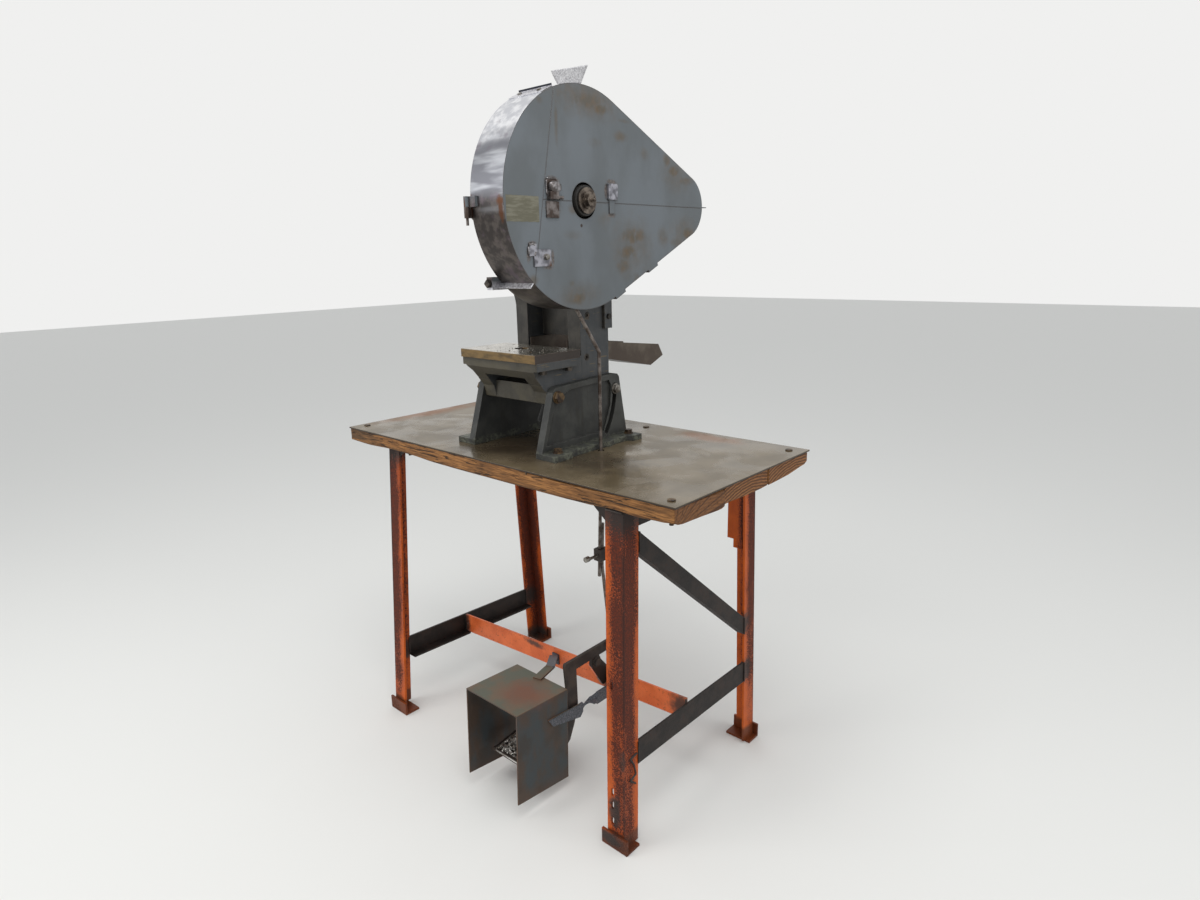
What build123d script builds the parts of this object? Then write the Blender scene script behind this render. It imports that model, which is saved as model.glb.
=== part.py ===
"""Bench punch press on its welded work table.

Frame: X to the operator's right, Y to the back, Z up from the floor, millimetres.
X = 0 is the middle of the table and of the press, Y = 0 the middle of the table top.
"""
from build123d import *
from math import asin, cos, hypot, radians, sin
import os

os.makedirs("parts", exist_ok=True)

# Clearances
RUN = 0.05          # running fit of a shaft in its bush, on the radius
FREE = 0.3          # gap between pieces that move past each other
WELD_GAP = 0.4      # gap that a weld bead fills

# Table top
TOP_LENGTH = 1219
TOP_DEPTH = 574
TOP_Z = 900
SHEET = 4
PLANK = 35
PLANK_END = 3
FRONT_SEAM = -99
REAR_SEAM = 91
SEAM_GAP = 1.2
TABLE_BOLT_R = 5
HALF_LENGTH = TOP_LENGTH / 2
HALF_DEPTH = TOP_DEPTH / 2
TABLE_BOLTS = [(-HALF_LENGTH + 30.5, -HALF_DEPTH + 43), (HALF_LENGTH - 33.5, -HALF_DEPTH + 33),
               (118, HALF_DEPTH - 44), (HALF_LENGTH - 37.5, HALF_DEPTH - 38), (-HALF_LENGTH + 49.5, HALF_DEPTH - 47)]

# Table frame
LEG_WIDTH = 52
LEG_WALL = 6
LEFT_INSET = 134
RIGHT_INSET = 141
LEFT_X = -HALF_LENGTH + LEFT_INSET
RIGHT_X = HALF_LENGTH - RIGHT_INSET
# Y of each leg's corner at the floor and at the top
FRONT_LEFT_Y = (-HALF_DEPTH - 17, -HALF_DEPTH + 47)
REAR_LEFT_Y = (HALF_DEPTH + 37, HALF_DEPTH)
FRONT_RIGHT_Y = (-HALF_DEPTH - 7, -HALF_DEPTH + 7)
REAR_RIGHT_Y = (HALF_DEPTH + 13, HALF_DEPTH - 21)
FOOT_LENGTH = 79
FOOT_FLANGE = 40
FOOT_DEPTH = 48
RAIL_WIDTH = 84
RAIL_DROP = 45
GUSSET_REACH = 36
GUSSET_DROP = 26
BRACE_HEIGHT = 62
BRACE_FLANGE = 34
BRACE_WALL = 6
LEFT_BRACE_Z = (192, 172)
RIGHT_BRACE_Z = (246, 238)
DIAGONAL_HEIGHT = 52
DIAGONAL_FLANGE = 25
DIAGONAL_WALL = 5
DIAGONAL_Z = (775, 383)
TIE_HEIGHT = 61
TIE_WALL = 6
TIE_LEFT = (-12, sum(LEFT_BRACE_Z) / 2 + 1)
TIE_RIGHT = (-34, sum(RIGHT_BRACE_Z) / 2 + 13)

# Press stand
STAND_X = 119.5
STAND_WALL = 21.5
BASE_FLANGE = 15
BASE_BOLT_R = 6
BASE_BOLT_FRONT = (STAND_X + 40.5, -163)
BASE_BOLT_REAR = (STAND_X + 43.5, 108)
PIVOT_Y = -139
PIVOT_RISE = 149
PIVOT_Z = TOP_Z + PIVOT_RISE
PIVOT_R = 8
TILT_RADIUS = 218
TILT_BOLT_R = 7
TILT_SLOT_R = 8
TILT_REST = -2.3
TILT_TRAVEL = 31

# Press frame
FRAME_X = STAND_X - FREE
UPRIGHT = 43.2
COLUMN_FRONT = -27
COLUMN_REAR = 81
REAR_WALL = 50
BED_RISE = 238.5
BED_Z = TOP_Z + BED_RISE
BED_FLANGE = 20
BED_FRONT = -204
BED_HALF = 140
BOLSTER_DEPTH = 157
BOLSTER_Y = -130.5
BOLSTER = 21
BOLSTER_HOLES_X = 160
BOLSTER_HOLES_Y = 90
BOLSTER_TAP_R = 4.2
DIE_HOLE_R = 19
SHAFT_Y = -122
SHAFT_RISE = 368.5
SHAFT_Z = BED_Z + SHAFT_RISE
BOSS_R = 36
RIGHT_BOSS_R = 44
BOSS_REACH = 9.3
GUARD_BACK = FRAME_X + BOSS_REACH
PASSAGE_RISE = 41.5
PASSAGE_TOP = BED_Z + PASSAGE_RISE

# Crank, pitman and ram
JOURNAL_R = 20
BUSH_WALL = 6
THROW = 19
CRANK_PIN_R = 17
CRANK_PIN_HALF = 22
CRANK_WEB = 16
CRANK_WEB_R = 26
PITMAN_LENGTH = 80
PITMAN_RING = 15
BALL_R = 16
SCREW_R = 10
RAM_HALF = 45
RAM_WING = 62
RAM_FRONT = SHAFT_Y - 25
WING_FRONT = SHAFT_Y + 3
RAM_REAR = SHAFT_Y + 30
RAM_TOP = SHAFT_Z - 52
RAM_HEIGHT = 98
RAM_BOTTOM = RAM_TOP - RAM_HEIGHT
SHANK_R = 12.7
SHANK_DEPTH = 30
GIB_FRONT = WING_FRONT - 15
WAY_TOP = RAM_TOP - 3
WAY_BOTTOM = WAY_TOP - 76

# Drive
COLLAR_LEFT = GUARD_BACK + 1
COLLAR_WIDTH = 20
COLLAR_R = 34
HUB_R = 33
HUB_LENGTH = 87
HUB_LEFT = COLLAR_LEFT + COLLAR_WIDTH + 1.5
HUB_RIGHT = HUB_LEFT + HUB_LENGTH
HUB_BUSH_WALL = 5
FLYWHEEL_R = 205
FLYWHEEL_LEFT = HUB_LEFT + 3
FLYWHEEL_WIDTH = 62
MOTOR_REACH = 391.5
MOTOR_Y = SHAFT_Y + MOTOR_REACH
MOTOR_R = 80
PULLEY_R = 38
MOTOR_SHAFT_R = 9.5
BELT_X = FLYWHEEL_LEFT + FLYWHEEL_WIDTH / 2
BELT_WIDTH = 13
BELT_DEPTH = 8

# Guard
GUARD_R = 242
NOSE_R = 78
GUARD_DEPTH = 104
GUARD_FACE = GUARD_BACK + GUARD_DEPTH
GUARD_SHEET = 2
FACE_HOLE_R = 39.5
SEAM_TOP = (SHAFT_Y - 86, SHAFT_Z + GUARD_R - 16)
SEAM_LOW = (SHAFT_Y - GUARD_R + 79, SHAFT_Z - GUARD_R + 65)
HINGE_X = GUARD_BACK - 3
HINGE_Y = SHAFT_Y - GUARD_R - 9
HINGE_R = 6
HINGE_PIN_R = 3
HINGE_MIDDLE = SHAFT_Z - 16
HINGE_LOW = HINGE_MIDDLE - 22
HINGE_HIGH = HINGE_MIDDLE + 22

# Chute
CHUTE_HALF = 70
CHUTE_SHEET = 2
CHUTE_TAIL = 387

# Treadle and rods
LEVER_X = STAND_X + 71
LEVER_WALL = 8
TREADLE_Y = -81
TREADLE_Z = 313
TREADLE_PIN_R = 8
ROD_R = 4.5
ROD_X = LEVER_X
ROD_HOLE_R = 9
ROD_GAP = 10
LEVER_EYE = (TREADLE_Y + 58, TREADLE_Z + 27)
EYE_PIN_R = 4
BOX_WIDTH = 195
BOX_RIGHT = LEVER_X + 12
BOX_LEFT = BOX_RIGHT - BOX_WIDTH
BOX_REACH = 299
BOX_LENGTH = 178
BOX_FRONT_HEIGHT = 250
BOX_REAR_HEIGHT = 261
BOX_SHEET = 3
PEDAL_LEFT = BOX_LEFT + 24.5


def save(piece, name):
    """Label the finished piece and write it."""
    piece.part.label = name
    export_step(piece.part, f"parts/{name}.step")


def disc(plane, radius, height, mode=Mode.ADD):
    """Round bar or bore that starts on the plane."""
    with BuildSketch(plane) as outline:
        Circle(radius)
    extrude(outline.sketch, amount=height, mode=mode)


def ring(plane, outer, inner, height):
    """Washer, sleeve or bush that starts on the plane."""
    with BuildSketch(plane) as outline:
        Circle(outer)
        Circle(inner, mode=Mode.SUBTRACT)
    extrude(outline.sketch, amount=height)


def block(low, high, mode=Mode.ADD):
    """Box between two corners."""
    size = [b - a for a, b in zip(low, high)]
    with Locations(tuple((a + b) / 2 for a, b in zip(low, high))):
        Box(*size, mode=mode)


def plate(plane, points, height, mode=Mode.ADD):
    """Plate of a polygon outline on the plane."""
    with BuildSketch(plane) as outline:
        with BuildLine():
            Polyline(*points, close=True)
        make_face()
    extrude(outline.sketch, amount=height, mode=mode)


def bolt(plane, radius, length, flats, head, washer_r=0.0, washer=0.0, sides=6):
    """Bolt whose washer and head stand on the plane, with its shank behind it."""
    if washer:
        disc(plane, washer_r, washer)
    with BuildSketch(plane.offset(washer)) as outline:
        RegularPolygon(flats / 2, sides, major_radius=False)
    extrude(outline.sketch, amount=head)
    disc(plane.offset(washer), radius, -(length + washer))


def side_plane(x, y, z, side=1):
    """Plane square to X at a point, facing right for side 1 and left for side -1."""
    return Plane(origin=(x, y, z), x_dir=(0, side, 0), z_dir=(side, 0, 0))


def up_plane(x, y, z, up=1):
    """Level plane at a point, facing up or down."""
    return Plane(origin=(x, y, z), x_dir=(1, 0, 0), z_dir=(0, 0, up))


def back_plane(x, y, z, back=1):
    """Upright plane square to Y at a point, facing back or front."""
    return Plane(origin=(x, y, z), x_dir=(-back, 0, 0), z_dir=(0, back, 0))


def bar(start, end, width, thick, across):
    """Flat bar from start to end, with its width along the across direction."""
    run = Vector(*end) - Vector(*start)
    with BuildSketch(Plane(origin=start, x_dir=across, z_dir=run)) as outline:
        Rectangle(width, thick)
    extrude(outline.sketch, amount=run.length)


def rod(points, radius):
    """Round rod through the points, with a ball at each bend."""
    for start, end in zip(points, points[1:]):
        run = Vector(*end) - Vector(*start)
        disc(Plane(origin=start, z_dir=run), radius, run.length)
    for point in points[1:-1]:
        with Locations(point):
            Sphere(radius)


def drop_line(big, small):
    """Line round the shaft and the motor shaft with its two tangents, for a sketch square to X."""
    turn = asin((big - small) / (MOTOR_Y - SHAFT_Y))
    big_y = SHAFT_Y + big * sin(turn)
    nose_y = MOTOR_Y + small * sin(turn)
    big_z = big * cos(turn)
    nose_z = small * cos(turn)
    Line((big_y, SHAFT_Z + big_z), (nose_y, SHAFT_Z + nose_z))
    ThreePointArc((nose_y, SHAFT_Z + nose_z), (MOTOR_Y + small, SHAFT_Z), (nose_y, SHAFT_Z - nose_z))
    Line((nose_y, SHAFT_Z - nose_z), (big_y, SHAFT_Z - big_z))
    ThreePointArc((big_y, SHAFT_Z - big_z), (SHAFT_Y - big, SHAFT_Z), (big_y, SHAFT_Z + big_z))


def drop(x, big, small, height, mode=Mode.ADD):
    """Plate of the guard's drop outline from x on."""
    with BuildSketch(Plane.YZ.offset(x)) as outline:
        with BuildLine():
            drop_line(big, small)
        make_face()
    extrude(outline.sketch, amount=height, mode=mode)


PLANK_TOP = TOP_Z - SHEET
PLANK_LOW = PLANK_TOP - PLANK
LEG_TOP = PLANK_LOW - LEG_WALL
ROD_TABLE_Y = -37

# Steel sheet on the table, with its bolt holes, the press's bolt holes and the rod's hole
base_bolt_points = [(s * x, y) for x, y in (BASE_BOLT_FRONT, BASE_BOLT_REAR) for s in (-1, 1)]
with BuildPart() as table_plate:
    block((-HALF_LENGTH, -HALF_DEPTH, PLANK_TOP), (HALF_LENGTH, HALF_DEPTH, TOP_Z))
    for x, y in base_bolt_points:
        disc(up_plane(x, y, TOP_Z), BASE_BOLT_R, -SHEET, Mode.SUBTRACT)
    for x, y in TABLE_BOLTS:
        disc(up_plane(x, y, TOP_Z), TABLE_BOLT_R, -SHEET, Mode.SUBTRACT)
    disc(up_plane(ROD_X, ROD_TABLE_Y, TOP_Z), ROD_HOLE_R, -SHEET, Mode.SUBTRACT)
save(table_plate, "table_plate")

# Three planks side by side
plank_edges = {
    "plank_front": (-HALF_DEPTH + 1, FRONT_SEAM - SEAM_GAP / 2, 0),
    "plank_middle": (FRONT_SEAM + SEAM_GAP / 2, REAR_SEAM - SEAM_GAP / 2, 4),
    "plank_rear": (REAR_SEAM + SEAM_GAP / 2, HALF_DEPTH - 1, -2),
}
for name, (front, rear, shift) in plank_edges.items():
    end = HALF_LENGTH - PLANK_END
    with BuildPart() as plank:
        block((-end + shift, front, PLANK_LOW), (end - abs(shift), rear, PLANK_TOP))
        fillet(plank.edges().filter_by(Axis.X).group_by(Axis.Z)[0], radius=3)
        if name == "plank_rear":
            low_end = plank.edges().filter_by(Axis.Y).group_by(Axis.Z)[0].sort_by(Axis.X)
            fillet(low_end[-1], radius=14)
        for x, y in base_bolt_points:
            if front < y < rear:
                disc(up_plane(x, y, PLANK_TOP), BASE_BOLT_R, -PLANK, Mode.SUBTRACT)
        for x, y in TABLE_BOLTS:
            if front < y < rear:
                disc(up_plane(x, y, PLANK_TOP), TABLE_BOLT_R, -PLANK, Mode.SUBTRACT)
        if front < ROD_TABLE_Y < rear:
            disc(up_plane(ROD_X, ROD_TABLE_Y, PLANK_TOP), ROD_HOLE_R, -PLANK, Mode.SUBTRACT)
    save(plank, name)

# Bolts through the sheet and the planks: round heads at the edges, hexagons on the press's lugs
with BuildPart() as table_bolts:
    for x, y in TABLE_BOLTS:
        disc(up_plane(x, y, TOP_Z), 9, 2.5)
        disc(up_plane(x, y, TOP_Z), TABLE_BOLT_R, -(SHEET + PLANK + 14))
        with BuildSketch(up_plane(x, y, PLANK_LOW, -1)) as nut:
            RegularPolygon(8, 6, major_radius=False)
        extrude(nut.sketch, amount=7)
    for x, y in base_bolt_points:
        bolt(up_plane(x, y, TOP_Z + BASE_FLANGE), BASE_BOLT_R, BASE_FLANGE + SHEET + PLANK + 16, 19, 8, 13, 2)
        with BuildSketch(up_plane(x, y, PLANK_LOW, -1)) as nut:
            RegularPolygon(9.5, 6, major_radius=False)
        extrude(nut.sketch, amount=9)
save(table_bolts, "table_bolts")


def angle_leg(outer_x, side, foot_y, top_y, back):
    """Leaning angle-iron leg, its corner outward, on its welded angle foot."""
    inner = -side * LEG_WIDTH
    wall = -side * LEG_WALL
    depth = -back * LEG_WIDTH
    skin = -back * LEG_WALL
    points = [(0, 0), (inner, 0), (inner, skin), (wall, skin), (wall, depth), (0, depth)]
    sections = []
    for y, z in ((foot_y, LEG_WALL), (top_y, LEG_TOP)):
        with BuildSketch(Plane(origin=(outer_x, y, z))) as section:
            with BuildLine():
                Polyline(*points, close=True)
            make_face()
        sections.append(section.sketch)
    loft(sections, ruled=True)
    middle = outer_x + inner / 2
    left = middle - FOOT_LENGTH / 2
    floor_y = foot_y + back * (LEG_WALL + 0.5)
    foot = [(0, 0), (0, FOOT_FLANGE), (LEG_WALL, FOOT_FLANGE), (LEG_WALL, LEG_WALL + 0.2),
            (FOOT_DEPTH, LEG_WALL + 0.2), (FOOT_DEPTH, 0)]
    outline = [(floor_y - back * y, z) for y, z in foot]
    plate(Plane.YZ.offset(left), outline, FOOT_LENGTH)


with BuildPart() as leg_front_left:
    angle_leg(LEFT_X, -1, *FRONT_LEFT_Y, -1)
save(leg_front_left, "leg_front_left")

with BuildPart() as leg_rear_left:
    angle_leg(LEFT_X, -1, *REAR_LEFT_Y, 1)
    with BuildSketch(back_plane(LEFT_X + 34, REAR_LEFT_Y[0] + 23, 660, -1)) as slot:
        SlotOverall(32, 8, rotation=90)
    extrude(slot.sketch, amount=90, mode=Mode.SUBTRACT)
save(leg_rear_left, "leg_rear_left")

# The near leg keeps the slots of its earlier use
with BuildPart() as leg_front_right:
    angle_leg(RIGHT_X, 1, *FRONT_RIGHT_Y, -1)
    for slot_z in (432, 150, 114, 70):
        with BuildSketch(back_plane(RIGHT_X - 36, FRONT_RIGHT_Y[0] - 23, slot_z, 1)) as slot:
            SlotOverall(22, 8, rotation=90)
        extrude(slot.sketch, amount=60, mode=Mode.SUBTRACT)
save(leg_front_right, "leg_front_right")

# The rear right leg has two short flats of an old joint welded inside its top
with BuildPart() as leg_rear_right:
    angle_leg(RIGHT_X, 1, *REAR_RIGHT_Y, 1)
    flat_y = REAR_RIGHT_Y[1]
    block((RIGHT_X - 74, flat_y - 12, LEG_TOP - 233), (RIGHT_X - 44, flat_y - 4, LEG_TOP))
    block((RIGHT_X - 51, flat_y - 18, LEG_TOP - 255), (RIGHT_X - 23, flat_y - 3, LEG_TOP))
save(leg_rear_right, "leg_rear_right")


def top_rail(outer_x, side, front, rear):
    """Angle rail under the planks on the leg tops, with a gusset beside the front leg."""
    inner = outer_x - side * RAIL_WIDTH
    low_x, high_x = sorted((outer_x, inner))
    block((low_x, front, LEG_TOP), (high_x, rear, PLANK_LOW))
    lip = outer_x - side * LEG_WALL
    low_x, high_x = sorted((lip, lip - side * LEG_WALL))
    block((low_x, front + LEG_WIDTH + 8, LEG_TOP - RAIL_DROP), (high_x, rear - LEG_WIDTH - 8, LEG_TOP))
    beside = outer_x - side * (LEG_WIDTH + WELD_GAP)
    points = [(beside, LEG_TOP), (inner, LEG_TOP), (beside, LEG_TOP - GUSSET_DROP)]
    plate(Plane.XZ.offset(-front - LEG_WALL), points, LEG_WALL)


with BuildPart() as rail_left:
    top_rail(LEFT_X, -1, FRONT_LEFT_Y[1], REAR_LEFT_Y[1] - 8)
save(rail_left, "rail_left")

with BuildPart() as rail_right:
    top_rail(RIGHT_X, 1, FRONT_RIGHT_Y[1], REAR_RIGHT_Y[1])
save(rail_right, "rail_right")


def leg_edge(foot_y, top_y, back, z):
    """Y of a leg's inner edge at a height."""
    share = (z - LEG_WALL) / (LEG_TOP - LEG_WALL)
    return foot_y + (top_y - foot_y) * share - back * LEG_WIDTH


def end_brace(outer_x, side, front_leg, rear_leg, heights, height, flange, wall, tie=None):
    """Sloping angle between two legs, flush with their outer faces, its lip inward and low."""
    def strip(low, high):
        """Corners of the brace between two heights measured from its middle line."""
        return [(leg_edge(*front_leg, -1, heights[0] + low) + WELD_GAP, heights[0] + low),
                (leg_edge(*rear_leg, 1, heights[1] + low) - WELD_GAP, heights[1] + low),
                (leg_edge(*rear_leg, 1, heights[1] + high) - WELD_GAP, heights[1] + high),
                (leg_edge(*front_leg, -1, heights[0] + high) + WELD_GAP, heights[0] + high)]
    low_x, high_x = sorted((outer_x, outer_x - side * wall))
    plate(Plane.YZ.offset(low_x), strip(-height / 2, height / 2), high_x - low_x)
    low_x, high_x = sorted((outer_x, outer_x - side * flange))
    plate(Plane.YZ.offset(low_x), strip(-height / 2, -height / 2 + wall), high_x - low_x)
    if tie:
        low_x, high_x = sorted((outer_x - side * wall, outer_x - side * (flange + 1)))
        block((low_x, tie[0] - 4, tie[1] - height), (high_x, tie[0] + TIE_WALL + 3, tie[1] + height),
              Mode.SUBTRACT)


with BuildPart() as brace_left:
    end_brace(LEFT_X, -1, FRONT_LEFT_Y, REAR_LEFT_Y, LEFT_BRACE_Z, BRACE_HEIGHT, BRACE_FLANGE, BRACE_WALL,
              TIE_LEFT)
save(brace_left, "brace_left")

with BuildPart() as brace_right:
    end_brace(RIGHT_X, 1, FRONT_RIGHT_Y, REAR_RIGHT_Y, RIGHT_BRACE_Z, BRACE_HEIGHT, BRACE_FLANGE, BRACE_WALL,
              TIE_RIGHT)
save(brace_right, "brace_right")

with BuildPart() as brace_diagonal:
    end_brace(RIGHT_X, 1, FRONT_RIGHT_Y, REAR_RIGHT_Y, DIAGONAL_Z, DIAGONAL_HEIGHT, DIAGONAL_FLANGE,
              DIAGONAL_WALL)
save(brace_diagonal, "brace_diagonal")

# Tie bar between the end braces, with the treadle's bracket plate welded behind it
TIE_START = (LEFT_X + BRACE_WALL + WELD_GAP, *TIE_LEFT)
TIE_END = (RIGHT_X - BRACE_WALL - WELD_GAP, *TIE_RIGHT)
tie_run = Vector(*TIE_END) - Vector(*TIE_START)
tie_reach = hypot(tie_run.X, tie_run.Y)
tie_face = Plane(origin=TIE_START, x_dir=(tie_run.X, tie_run.Y, 0), z_dir=(tie_run.Y, -tie_run.X, 0))


def tie_front(x):
    """Y of the tie bar's front face at x."""
    return TIE_START[1] + (x - TIE_START[0]) * tie_run.Y / tie_run.X


def tie_middle(x):
    """Height of the tie bar's middle line at x."""
    return TIE_START[2] + (x - TIE_START[0]) * tie_run.Z / tie_run.X


STRAP_BOLT_X = -20.5
BRACKET_X = LEVER_X - LEVER_WALL / 2 - FREE
with BuildPart() as tie_bar:
    half = TIE_HEIGHT / 2
    ends = [(0, -half), (tie_reach, tie_run.Z - half), (tie_reach, tie_run.Z + half), (0, half)]
    plate(tie_face, ends, -TIE_WALL)
    disc(back_plane(TIE_START[0] + 12, TIE_START[1] - 3, TIE_START[2], 1), 6, 14, Mode.SUBTRACT)
    disc(back_plane(STRAP_BOLT_X, tie_front(STRAP_BOLT_X), tie_middle(STRAP_BOLT_X), 1).offset(-3), 5, 12,
         Mode.SUBTRACT)
    weld_y = tie_front(BRACKET_X) + 0.5
    bracket = [(TREADLE_Y - 19, TREADLE_Z - 3), (TREADLE_Y - 12, TREADLE_Z + 16), (TREADLE_Y + 10, TREADLE_Z + 16),
               (weld_y, TREADLE_Z - 38), (weld_y, TREADLE_Z - 91), (weld_y - 18.5, TREADLE_Z - 91)]
    plate(Plane.YZ.offset(BRACKET_X - 8), bracket, 8)
    disc(side_plane(BRACKET_X, TREADLE_Y, TREADLE_Z), TREADLE_PIN_R, -8, Mode.SUBTRACT)
save(tie_bar, "tie_bar")

# Treadle: the bent lever with its pedal welded inside the guard
with BuildPart() as treadle_lever:
    arm = [(72, 15), (72, 43), (-118, 43), (-120, 36), (-109, -95), (-119, -163), (-145, -195), (-159, -201),
           (-159, -210), (-141, -210), (-109, -185), (-91, -145), (-75, -91), (-77, 12)]
    plate(Plane.YZ.offset(LEVER_X - LEVER_WALL / 2), [(TREADLE_Y + y, TREADLE_Z + z) for y, z in arm], LEVER_WALL)
    disc(side_plane(LEVER_X - LEVER_WALL / 2, TREADLE_Y, TREADLE_Z), 19, LEVER_WALL)
    disc(side_plane(LEVER_X - LEVER_WALL / 2, TREADLE_Y, TREADLE_Z), TREADLE_PIN_R + RUN, LEVER_WALL,
         Mode.SUBTRACT)
    disc(side_plane(LEVER_X + LEVER_WALL / 2, *LEVER_EYE), EYE_PIN_R, 9)
    pedal_right = LEVER_X + LEVER_WALL / 2
    pedal_rear, pedal_high = TREADLE_Y - 144, TREADLE_Z - 205
    pedal_front, pedal_low = TREADLE_Y - 241, TREADLE_Z - 217
    with BuildSketch(Plane.YZ.offset(PEDAL_LEFT)) as pedal:
        with BuildLine():
            Polyline((pedal_rear, pedal_high), (pedal_front, pedal_low), (pedal_front, pedal_low + 6),
                     (pedal_rear, pedal_high + 6), close=True)
        make_face()
    extrude(pedal.sketch, amount=pedal_right - PEDAL_LEFT)
    disc(side_plane(PEDAL_LEFT, pedal_front, pedal_low + 3), 5, pedal_right - PEDAL_LEFT)
save(treadle_lever, "treadle_lever")

# Pivot bolt of the treadle and bolt of the pedal guard's strap
STRAP_WALL = 5
with BuildPart() as treadle_bolts:
    pivot_head = LEVER_X + LEVER_WALL / 2 + FREE
    bolt(side_plane(pivot_head, TREADLE_Y, TREADLE_Z), TREADLE_PIN_R, LEVER_WALL + 2 * FREE + 8, 19, 7, 14, 2)
    with BuildSketch(side_plane(BRACKET_X - 8, TREADLE_Y, TREADLE_Z, -1)) as nut:
        RegularPolygon(10, 6, major_radius=False)
    extrude(nut.sketch, amount=8)
    strap_y = tie_front(STRAP_BOLT_X) - STRAP_WALL
    bolt(back_plane(STRAP_BOLT_X, strap_y - 0.6, tie_middle(STRAP_BOLT_X), -1), 4.8, STRAP_WALL + TIE_WALL + 7,
         13, 6, 9, 1.5)
save(treadle_bolts, "treadle_bolts")

# Pedal guard: a bent sheet box, open in front, behind and below, with two welded straps
BOX_FRONT_Y = TREADLE_Y - BOX_REACH
BOX_FRONT_TOP = (BOX_FRONT_Y, TREADLE_Z - 13)
BOX_REAR_TOP = (BOX_FRONT_Y + BOX_LENGTH, TREADLE_Z - 24)
BOX_REAR_LOW = (BOX_FRONT_Y + BOX_LENGTH - 8, TREADLE_Z - 24 - BOX_REAR_HEIGHT)
BOX_FRONT_LOW = (BOX_FRONT_Y - 10, TREADLE_Z - 13 - BOX_FRONT_HEIGHT)
box_outline = [BOX_FRONT_TOP, BOX_REAR_TOP, BOX_REAR_LOW, BOX_FRONT_LOW]
with BuildPart() as pedal_guard:
    plate(Plane.YZ.offset(BOX_LEFT), box_outline, BOX_RIGHT - BOX_LEFT)
    hollow = [(BOX_FRONT_TOP[0] - 40, BOX_FRONT_TOP[1] + 2.3 - BOX_SHEET),
              (BOX_REAR_TOP[0] + 40, BOX_REAR_TOP[1] - 2.3 - BOX_SHEET),
              (BOX_REAR_LOW[0] + 60, BOX_REAR_LOW[1] - 20), (BOX_FRONT_LOW[0] - 60, BOX_FRONT_LOW[1] - 80)]
    plate(Plane.YZ.offset(BOX_LEFT + BOX_SHEET), hollow, BOX_RIGHT - BOX_LEFT - 2 * BOX_SHEET, Mode.SUBTRACT)
    tie_y = tie_front(STRAP_BOLT_X)
    tie_z = tie_middle(STRAP_BOLT_X)
    strap_bend = (BOX_LEFT + 88.5, TREADLE_Y - 79, BOX_REAR_TOP[1] + 5)
    block((STRAP_BOLT_X - 13, tie_y - 0.6 - STRAP_WALL, tie_z - 16), (STRAP_BOLT_X + 13, tie_y - 0.6, tie_z + 16))
    disc(back_plane(STRAP_BOLT_X, tie_y, tie_z, -1), 4.8, 12, Mode.SUBTRACT)
    bar((STRAP_BOLT_X, tie_y - 11, tie_z + 12), strap_bend, 25, STRAP_WALL, (137, 116, 0))
    bar((BOX_LEFT + 84.5, TREADLE_Y - 74, BOX_REAR_TOP[1] + 3.5),
        (BOX_LEFT + 100.5, TREADLE_Y - 141, BOX_REAR_TOP[1] + 2.6), 25, STRAP_WALL, (67, 16, 0))
    side_x = BOX_RIGHT
    side_strap = [(-196, -78), (-182, -101), (-80, -126), (-69, -114), (-69, -87), (-82, -87)]
    plate(Plane.YZ.offset(side_x), [(TREADLE_Y + y, TREADLE_Z + z) for y, z in side_strap], STRAP_WALL)
    twist_x = side_x + STRAP_WALL / 2
    sections = []
    for y, z, wide, turn in ((-75, -102, 23, 0), (-49, -99, 24, 60), (-31, -101, 24, 120), (-9, -103, 34, 180)):
        place = (twist_x, TREADLE_Y + y, TREADLE_Z + z)
        with BuildSketch(Plane(origin=place, x_dir=(1, 0, 0), z_dir=(0, 1, 0))) as section:
            Rectangle(STRAP_WALL - 0.4, wide, rotation=turn)
        sections.append(section.sketch)
    loft(sections, ruled=True)
    block((side_x, TREADLE_Y - 12, TREADLE_Z - 121), (side_x + STRAP_WALL, tie_front(side_x) - 0.5, TREADLE_Z - 85))
save(pedal_guard, "pedal_guard")

# Rods from the treadle up through the table to the clutch latch
LATCH_LEFT = GUARD_BACK + 7
LATCH_FRONT = SHAFT_Y + 10
LATCH_REAR = SHAFT_Y + 28
LATCH_Y = (LATCH_FRONT + LATCH_REAR) / 2
ROD_TOP_Z = SHAFT_Z - 266
SLANT_START = (ROD_X, ROD_TABLE_Y + 1, BED_Z + 14.5)
SLANT_END = (LATCH_LEFT + 4, LATCH_Y, SHAFT_Z - 187)


def slant_point(z):
    """Point on the rod's slanted line at a height."""
    share = (z - SLANT_START[2]) / (SLANT_END[2] - SLANT_START[2])
    return tuple(a + (b - a) * share for a, b in zip(SLANT_START, SLANT_END))


CLAMP_Z = 616
upper_foot = (ROD_X, ROD_TABLE_Y - 17, CLAMP_Z - 61)
upper_bend = (ROD_X, ROD_TABLE_Y - 0.5, TOP_Z - 15)
with BuildPart() as upper_rod:
    rod([upper_foot, upper_bend, SLANT_START, slant_point(ROD_TOP_Z)], ROD_R)
save(upper_rod, "upper_rod")

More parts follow.
